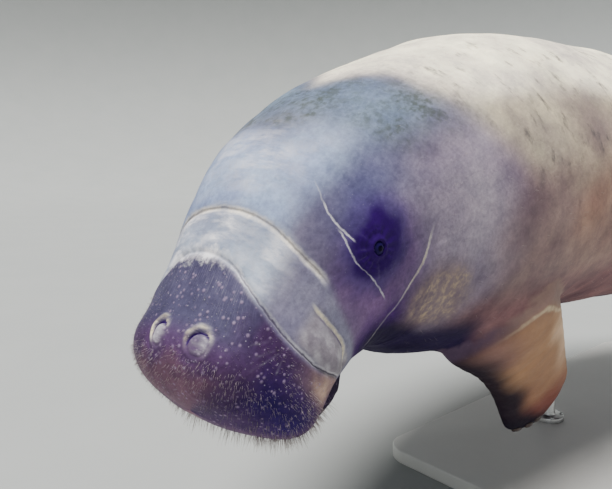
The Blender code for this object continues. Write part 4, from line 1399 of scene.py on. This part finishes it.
def eye_material():
    """Dark blue iris with fine radial lines round a black pupil, under a thin wet coat."""
    material, tree, shader = new_material("eyeball", roughness=0.30, specular=0.04)
    shader["Coat Weight"].default_value = 0.03
    shader["Coat Roughness"].default_value = 0.08
    far = tree.read("from_axis")
    lines = tree.noise(tree.read("lay", "Vector"), 9.0, 4.0)
    iris = tree.mix(lines, (0.006, 0.003, 0.034, 1), (0.016, 0.008, 0.070, 1))
    color = tree.mix(tree.ranged(far, 0.30, 0.36), (0.003, 0.002, 0.010, 1), iris)
    color = tree.mix(tree.ranged(far, 0.74, 0.86), color, (0.020, 0.009, 0.068, 1))
    tree.connect(color, shader["Base Color"])
    tree.connect(tree.ranged(lines, 0.2, 0.8, 0.10, 0.26), shader["Roughness"])
    return material


def nail_material():
    """Horn with growth bands and lighter worn patches; its dark grey-brown is painted shade, matching the flipper's
    shaded tip where the nails sit.
    """
    material, tree, shader = new_material("horn", roughness=0.42)
    place = tree.place()
    bands = tree.noise(place, 260.0, 3.0)
    worn = tree.mottle(place, 90.0, 0.2)
    color = tree.mix(bands, (0.024, 0.013, 0.015, 1), (0.070, 0.044, 0.038, 1))
    tree.connect(tree.mix(worn * 0.5, color, (0.10, 0.070, 0.058, 1)), shader["Base Color"])
    tree.connect(tree.ranged(worn, 0.0, 1.0, 0.34, 0.55), shader["Roughness"])
    tree.connect(tree.bump(bands, 0.4, 0.0006), shader["Normal"])
    return material


def plinth_material():
    """Satin off-white paint with a faint orange-peel texture and large faint stains."""
    material, tree, shader = new_material("satin_paint", roughness=0.42)
    place = tree.place()
    tint = tree.mottle(place, 5.0, 0.35)
    tree.connect(tree.mix(tint, (0.66, 0.655, 0.63, 1), (0.73, 0.725, 0.70, 1)), shader["Base Color"])
    tree.connect(tree.ranged(tint, 0.0, 1.0, 0.36, 0.50), shader["Roughness"])
    tree.connect(tree.bump(tree.noise(place, 620.0, 2.0), 0.25, 0.0003), shader["Normal"])
    return material


def steel_material():
    """Brushed stainless steel, its fine scratches running round the rod."""
    material, tree, shader = new_material("brushed_steel", roughness=0.3, metallic=1.0)
    turned_place = tree.node("ShaderNodeMapping", {"Vector": tree.place(), "Scale": (30.0, 30.0, 1500.0)})[0]
    lines = tree.noise(turned_place, 1.0, 3.0)
    tree.connect(tree.mix(lines, (0.46, 0.46, 0.465, 1), (0.62, 0.62, 0.615, 1)), shader["Base Color"])
    tree.connect(tree.ranged(lines, 0.2, 0.8, 0.24, 0.40), shader["Roughness"])
    tree.connect(tree.bump(lines, 0.12, 0.0002), shader["Normal"])
    return material


# Bristles and hairs


def skin_map(s, t):
    """A flat map of the skin: t across, and the root of s upwards so that the head has room enough."""
    return np.stack([0.5 + t / 360 * 0.94, 0.02 + 0.96 * np.sqrt(np.clip(s, 0, LENGTH) / LENGTH)], -1)


def hairs(name, roots, way, side, length, radius, flat, tone, lay, sides=4, joints=4, bright=1.0):
    """Tapered curved strands: a strand's middle line is root + way*u*length + bend*u^2*length, u from 0 to 1,
    and its radius falls as (1-u)^0.8. Each strand's faces share one small patch of the OFBake map."""
    count = len(roots)
    u = np.linspace(0, 1, joints)[None, :, None]
    bend = np.array((0.0, 0.0, -1.0)) * side[:, None]
    line = roots[:, None, :] + (way[:, None, :] * u + bend[:, None, :] * u**2) * length[:, None, None]
    line = line - way[:, None, :] * HAIR_SUNK * (1 - u)
    other = unit_rows(np.cross(way, [[0.31, 0.17, 0.93]]))
    third = np.cross(way, other)
    corner = np.arange(sides) * math.tau / sides
    ring = other[:, None, :] * np.cos(corner)[None, :, None] + third[:, None, :] * np.sin(corner)[None, :, None]
    thick = radius[:, None] * (1 - u[0, :-1, 0][None, :]) ** 0.8
    body = line[:, :-1, None, :] + ring[:, None, :, :] * thick[:, :, None, None]
    points = np.concatenate([body.reshape(count, -1, 3), line[:, -1:, :]], 1)
    per = points.shape[1]
    index = np.arange((joints - 1) * sides).reshape(joints - 1, sides)
    after = np.roll(index, -1, 1)
    quads = np.stack([index[:-1], after[:-1], after[1:], index[1:]], -1).reshape(-1, 4)
    tips = np.stack([index[-1], after[-1], np.full(sides, per - 1)], -1)
    feet = np.stack([np.full(sides - 2, index[0, 0]), index[0, 2:], index[0, 1:-1]], -1)
    shift = (np.arange(count) * per)[:, None, None]
    mesh = new_mesh(name, points.reshape(-1, 3), [quads + shift], [tips + shift, feet + shift])
    put(mesh, "tone", np.repeat(np.column_stack([tone, np.ones(count)]), per, 0))
    put(mesh, "lay", np.repeat(lay, per, 0))
    along = np.append(np.repeat(u[0, :-1, 0], sides), 1.0)
    put(mesh, "tip", (np.broadcast_to(bright, (count,))[:, None] * along[None]).ravel())
    spread = np.column_stack([np.append(np.tile(np.cos(corner), joints - 1), 0.0), along * 2 - 1]) * HAIR_PATCH
    places = (flat[:, None, :] + spread[None]).reshape(-1, 2)
    corners = np.empty(len(mesh.loops), "i")
    mesh.loops.foreach_get("vertex_index", corners)
    mesh.uv_layers.new(name="OFBake").data.foreach_set("uv", places[corners].astype("f").ravel())
    return mesh


def unit_rows(vectors):
    """Each row's direction, one long."""
    return vectors / np.linalg.norm(vectors, axis=1, keepdims=True)


def strewn(draw, way, spread):
    """Directions with a drawn unevenness, one long."""
    return unit_rows(way + draw.normal(scale=spread, size=way.shape))


def root_values(s, t):
    """Roots on the skin with the hide's outward way, tone and lay there."""
    points = surface(s, t)
    return points, outward(s, t), body_marks(points, s, t)["tone"], section_place(points, s)


def away_from(points, centres, reach):
    """Which points lie further than reach from every centre."""
    far = [np.linalg.norm(points - centre, axis=1) > reach for centre in centres]
    return np.all(far, 0)


def make_bristles(material):
    """Stiff pale bristles over the lip pads and round the muzzle's edge, and short ones all over its front."""
    draw = np.random.default_rng(7)
    count = 2900
    low = draw.random(count) < 0.50
    side = np.where(draw.random(count) < 0.5, 1.0, -1.0)
    t = side * np.where(low, 178 - 92 * draw.random(count) ** 1.2, draw.uniform(4, 112, count))
    s = np.where(low, 0.006 + 0.058 * draw.random(count) ** 0.8, 0.080 * draw.random(count) ** 0.8)
    front = draw.random(count) < 0.36
    s = np.where(front, 0.030 * draw.random(count) ** 0.6, s)
    t = np.where(front, draw.uniform(-180, 180, count), t)
    low = low | front
    points, out, tone, lay = root_values(s, t)
    clear = away_from(points, [place[0] for place in NOSTRILS], 0.018)
    s, t, low, points, out, tone, lay = (values[clear] for values in (s, t, low, points, out, tone, lay))
    count = len(s)
    way = unit_rows(out + draw.normal(scale=0.16, size=(count, 3)) + np.array((0, 0, -0.30)) * low[:, None])
    reach = 0.0048 + 0.0100 * step(np.abs(t), 104, 150)
    length = np.where(low, reach * draw.uniform(0.6, 1.15, count), draw.uniform(0.0020, 0.0045, count))
    radius = np.where(low, draw.uniform(0.00018, 0.00032, count), draw.uniform(0.00012, 0.00020, count))
    mesh = hairs(
        "muzzle_bristles", points, way, draw.uniform(0.05, 0.30, count), length, radius, skin_map(s, t), tone, lay,
        bright=np.where(np.abs(t) > 100, 1.0, 0.30),
    )
    add_piece("muzzle_bristles", mesh, material, ("head",))


def make_chin_bristles(material):
    """Bristles of the chin, on the lower front of the jaw."""
    draw = np.random.default_rng(11)
    count = 280
    turn = np.radians(draw.uniform(-80, 80, count))
    drop = np.radians(draw.uniform(12, 66, count))
    unit = np.stack([np.sin(turn) * np.cos(drop), -np.cos(turn) * np.cos(drop), -np.sin(drop)], -1)
    centre, axes = jaw_frame()
    points = centre + (unit * JAW_SIZE) @ axes
    way = strewn(draw, unit_rows((unit / JAW_SIZE) @ axes), 0.15)
    # the chin bristles' roots take the jaw's near-black painted shade
    tone = plain_tone("jaw", count)
    s = np.full(count, JAW_AT)
    t = 180 - np.degrees(turn) * 0.3
    mesh = hairs(
        "chin_bristles", points, way, draw.uniform(0.05, 0.3, count), draw.uniform(0.008, 0.017, count),
        draw.uniform(0.00024, 0.00038, count), skin_map(s, t), tone, section_place(points, s),
    )
    add_piece("chin_bristles", mesh, material, ("lower_jaw",))


def make_body_hairs(material):
    """Fine single hairs, well apart, over the whole body, lying back towards the tail."""
    draw = np.random.default_rng(13)
    count = 2600
    s = NECK_START + (LENGTH - 0.50) * draw.random(count)
    t = draw.uniform(-170, 170, count)
    points, out, tone, lay = root_values(s, t)
    clear = away_from(points, [place[0] for place in EYES.values()], 0.03)
    clear &= away_from(points, [plain(*FLIPPERS[word]["at"]) for word in FLIPPERS], 0.12)
    s, t, points, out, tone, lay = (values[clear] for values in (s, t, points, out, tone, lay))
    count = len(s)
    way = strewn(draw, out * 0.75 + spine("back", s) * 0.65, 0.15)
    mesh = hairs(
        "body_hairs", points, way, draw.uniform(0.0, 0.25, count), draw.uniform(0.004, 0.009, count),
        draw.uniform(0.00012, 0.00020, count), skin_map(s, t), tone, lay, sides=3, joints=3,
    )
    add_piece("body_hairs", mesh, material, ("torso",))


# Eyes, nails and stand


def make_eyes(material):
    """Eyeballs: spheres with a slightly raised cornea round the axis that points out of the head. Each follows
    the rise of the flesh at its place."""
    columns_round = 48
    unit = ball(32, columns_round)
    far = np.hypot(unit[:, 0], unit[:, 1]) + 2.0 * (unit[:, 2] < 0)
    angle = np.arctan2(unit[:, 1], unit[:, 0])
    lift = swelling(*EYE_AT, BROW_SWELLING) - EYE_SUNK
    for word, (centre, across, ahead, out) in EYES.items():
        size = EYE_RADIUS * (1 + 0.05 * bell(far, 0.45))
        points = centre + out * lift + (unit * size[:, None]) @ np.array([across, ahead, out])
        mesh = shell(f"eyeball_{word}", points, columns_round)
        put(mesh, "from_axis", far)
        put(mesh, "lay", np.stack([np.cos(angle) * 2, np.sin(angle) * 2, far * 0.3], -1))
        add_piece(f"eyeball_{word}", mesh, material, (f"eye_{word}",))


def nail_frame(word, turn, share):
    """A place on the flipper's surface and its directions across, along and out of it as rows."""
    turns = np.array([turn, turn + 0.05])
    grid = flipper_points(word, turns, np.array([share, share + 0.01]), False)
    here = grid[0, 0]
    along = grid[1, 0] - here
    along /= np.linalg.norm(along)
    out = np.cross(along, grid[0, 1] - here)
    out /= np.linalg.norm(out)
    middle = flipper_points(word, np.array([0.0, math.pi]), np.array([share]), False)[0].mean(0)
    if out.dot(here - middle) < 0:
        out = -out
    return here, np.array([np.cross(along, out), along, out])


def make_nails(material):
    """Nails: flattened domes, signed powers of a sphere's points, near each flipper's tip."""
    columns_round = 28
    shape = signed_power(ball(16, columns_round), 0.85) * NAIL_SIZE
    for word in FLIPPERS:
        for number, (turn, share) in enumerate(zip(NAIL_TURNS, NAIL_SHARES), 1):
            here, axes = nail_frame(word, math.radians(turn), share)
            mesh = shell(f"horn_{word}_{number}", here + shape @ axes, columns_round)
            add_piece(f"horn_{word}_{number}", mesh, material, (f"nail_{word}_{number}",))


def turned(name, profile, x, y, count=64):
    """A profile of (radius, height) pairs turned round an upright axis at x, y."""
    radius, height = np.array(profile, float).T
    a = np.arange(count) * math.tau / count
    grid = np.stack([x + radius[:, None] * np.cos(a), y + radius[:, None] * np.sin(a), height[:, None] + 0 * a], -1)
    mesh = shell(name, np.vstack([grid.reshape(-1, 3), [[x, y, height[0]], [x, y, height[-1]]]]), count)
    mesh.set_sharp_from_angle(angle=math.radians(40))
    return mesh


def make_plinth(paint_material):
    """The base: a slab with rounded corners and a rounded top edge. A row's points are a corner circle's,
    (r cos a, r sin a), pushed out to the four corners by the signs of cos a and sin a."""
    bow = np.linspace(0.2, math.pi / 2, 6)
    inset = np.concatenate([(0.006, 0.0015, 0.0, 0.0), BASE_EDGE * (1 - np.cos(bow))])
    top = BASE_SIZE[2] - BASE_EDGE
    height = np.concatenate([(0.0, 0.0008, 0.003, top), top + BASE_EDGE * np.sin(bow)])
    count = 160
    a = np.arange(count) * math.tau / count + 0.001
    r = (BASE_CORNER - inset)[:, None]
    x = np.sign(np.cos(a)) * (BASE_SIZE[0] / 2 - BASE_CORNER) + r * np.cos(a)
    y = np.sign(np.sin(a)) * (BASE_SIZE[1] / 2 - BASE_CORNER) + r * np.sin(a)
    grid = np.stack([x, y, height[:, None] + 0 * a], -1)
    points = np.vstack([grid.reshape(-1, 3), [[0, 0, height[0]], [0, 0, height[-1]]]])
    mesh = shell("stand_plinth", points, count)
    mesh.set_sharp_from_angle(angle=math.radians(30))
    add_piece("stand_plinth", mesh, paint_material, ("stand_base",))


def make_posts(steel):
    """Two turned rods that reach into the belly, each with a flange and four screws."""
    low = BASE_SIZE[2] + GAP
    top = low + FLANGE_HEIGHT
    for word, y in ROD_PLACES.items():
        s = float(np.interp(y, SPINE["place"][:, 1], SPINE_S))
        x, _, height = spine("place", s)
        x += ROD_SHIFT
        profile = [(FLANGE_RADIUS + out, low + up) for out, up in ((-0.001, 0.0), (0.0, 0.001))]
        profile += [(FLANGE_RADIUS + out, top + up) for out, up in ((0.0, -0.003), (-0.0009, -0.0009), (-0.003, 0.0))]
        profile += [(ROD_RADIUS + out, top + up) for out, up in ((0.006, 0.0), (0.002, 0.0015), (0.0, 0.006))]
        profile += [(ROD_RADIUS, height - 0.9 * float(section(DROP, s)))]
        mesh = turned(f"stand_post_{word}", profile, x, y)
        add_piece(f"stand_post_{word}", mesh, steel, (f"stand_rod_{word}",))
        for i in range(4):
            angle = math.radians(45 + 90 * i)
            head = [(radius, top + up) for radius, up in SCREW_PROFILE]
            px, py = x + SCREW_CIRCLE * math.cos(angle), y + SCREW_CIRCLE * math.sin(angle)
            screw = turned(f"stand_screw_{word}_{i + 1}", head, px, py, 24)
            add_piece(f"stand_screw_{word}_{i + 1}", screw, steel)


# Floor, light and camera


def make_stage():
    """A pale floor that bends up far away on every side."""
    bow = np.linspace(0.05, math.pi / 2, 24)
    flat = np.linspace(0.5, FLOOR_FLAT, 20)
    radius = np.concatenate([flat, FLOOR_FLAT + FLOOR_BOW * np.sin(bow), [FLOOR_FLAT + FLOOR_BOW]])
    rise = np.concatenate([np.zeros(len(flat)), FLOOR_BOW * (1 - np.cos(bow)), [FLOOR_RISE]])
    a = np.arange(FLOOR_COLUMNS) * math.tau / FLOOR_COLUMNS
    grid = np.stack([radius[:, None] * np.cos(a), radius[:, None] * np.sin(a), rise[:, None] + 0 * a], -1)
    points = np.vstack([grid.reshape(-1, 3), [[0, 0, 0]]])
    index = np.arange(len(radius) * FLOOR_COLUMNS).reshape(-1, FLOOR_COLUMNS)
    mesh = bpy.data.meshes.new("floor")
    faces = [tuple(f) for f in quads_of(index)[:, ::-1].tolist()]
    faces += [(len(points) - 1, int(i), int(j)) for i, j in zip(index[0], np.roll(index[0], -1))]
    mesh.from_pydata(points.tolist(), [], faces)
    mesh.shade_smooth()
    obj = bpy.data.objects.new("floor", mesh)
    bpy.context.scene.collection.objects.link(obj)
    material, tree, shader = new_material("studio_floor", roughness=0.85, specular=0.2)
    cloud = tree.mottle(tree.place(), 1.5, 0.4)
    tree.connect(tree.mix(cloud, (0.37, 0.385, 0.38, 1), (0.40, 0.41, 0.405, 1)), shader["Base Color"])
    mesh.materials.append(material)


def place_looking(name, data, place, way):
    """Puts a light or camera at a place, looking along a way."""
    obj = bpy.data.objects.new(name, data)
    obj.location = place
    obj.rotation_mode = "QUATERNION"
    obj.rotation_quaternion = Vector(way).to_track_quat("-Z", "Y")
    bpy.context.scene.collection.objects.link(obj)
    return obj


def make_lights():
    """A wide light from above and a little ahead, a weak one by the camera, and a dim pale surround."""
    data = bpy.data.lights.new("overhead", "SUN")
    data.energy = 6.4
    data.angle = math.radians(32)
    data.color = (1.0, 0.985, 0.955)
    place_looking("overhead", data, (0, 0, 0), (-0.10, 0.16, -1.0))
    data = bpy.data.lights.new("fill", "AREA")
    data.shape = "DISK"
    data.size = 2.4
    data.energy = 12
    data.color = (0.90, 0.93, 1.0)
    place_looking("fill", data, (2.4, -3.6, 1.9), (-2.3, 2.8, -1.3))
    world = bpy.data.worlds.new("surround")
    world.use_nodes = True
    world.node_tree.nodes["Background"].inputs["Color"].default_value = (0.84, 0.93, 0.97, 1)
    world.node_tree.nodes["Background"].inputs["Strength"].default_value = 0.27
    bpy.context.scene.world = world


def make_camera():
    """The photograph's view: ahead of the animal's left cheek, a little above it, looking slightly down."""
    data = bpy.data.cameras.new("camera")
    data.lens = CAMERA_LENS
    data.sensor_width = 36.0
    data.clip_start = 0.02
    data.clip_end = 100.0
    azimuth, down = (math.radians(angle) for angle in CAMERA_ANGLES)
    way = (-math.sin(azimuth) * math.cos(down), math.cos(azimuth) * math.cos(down), -math.sin(down))
    bpy.context.scene.camera = place_looking("camera", data, CAMERA_AT, way)


make_skin(skin_material())
hair = hair_material()
make_bristles(hair)
make_chin_bristles(hair)
make_body_hairs(hair)
make_eyes(eye_material())
make_nails(nail_material())
make_plinth(plinth_material())
make_posts(steel_material())
make_stage()
make_lights()
make_camera()
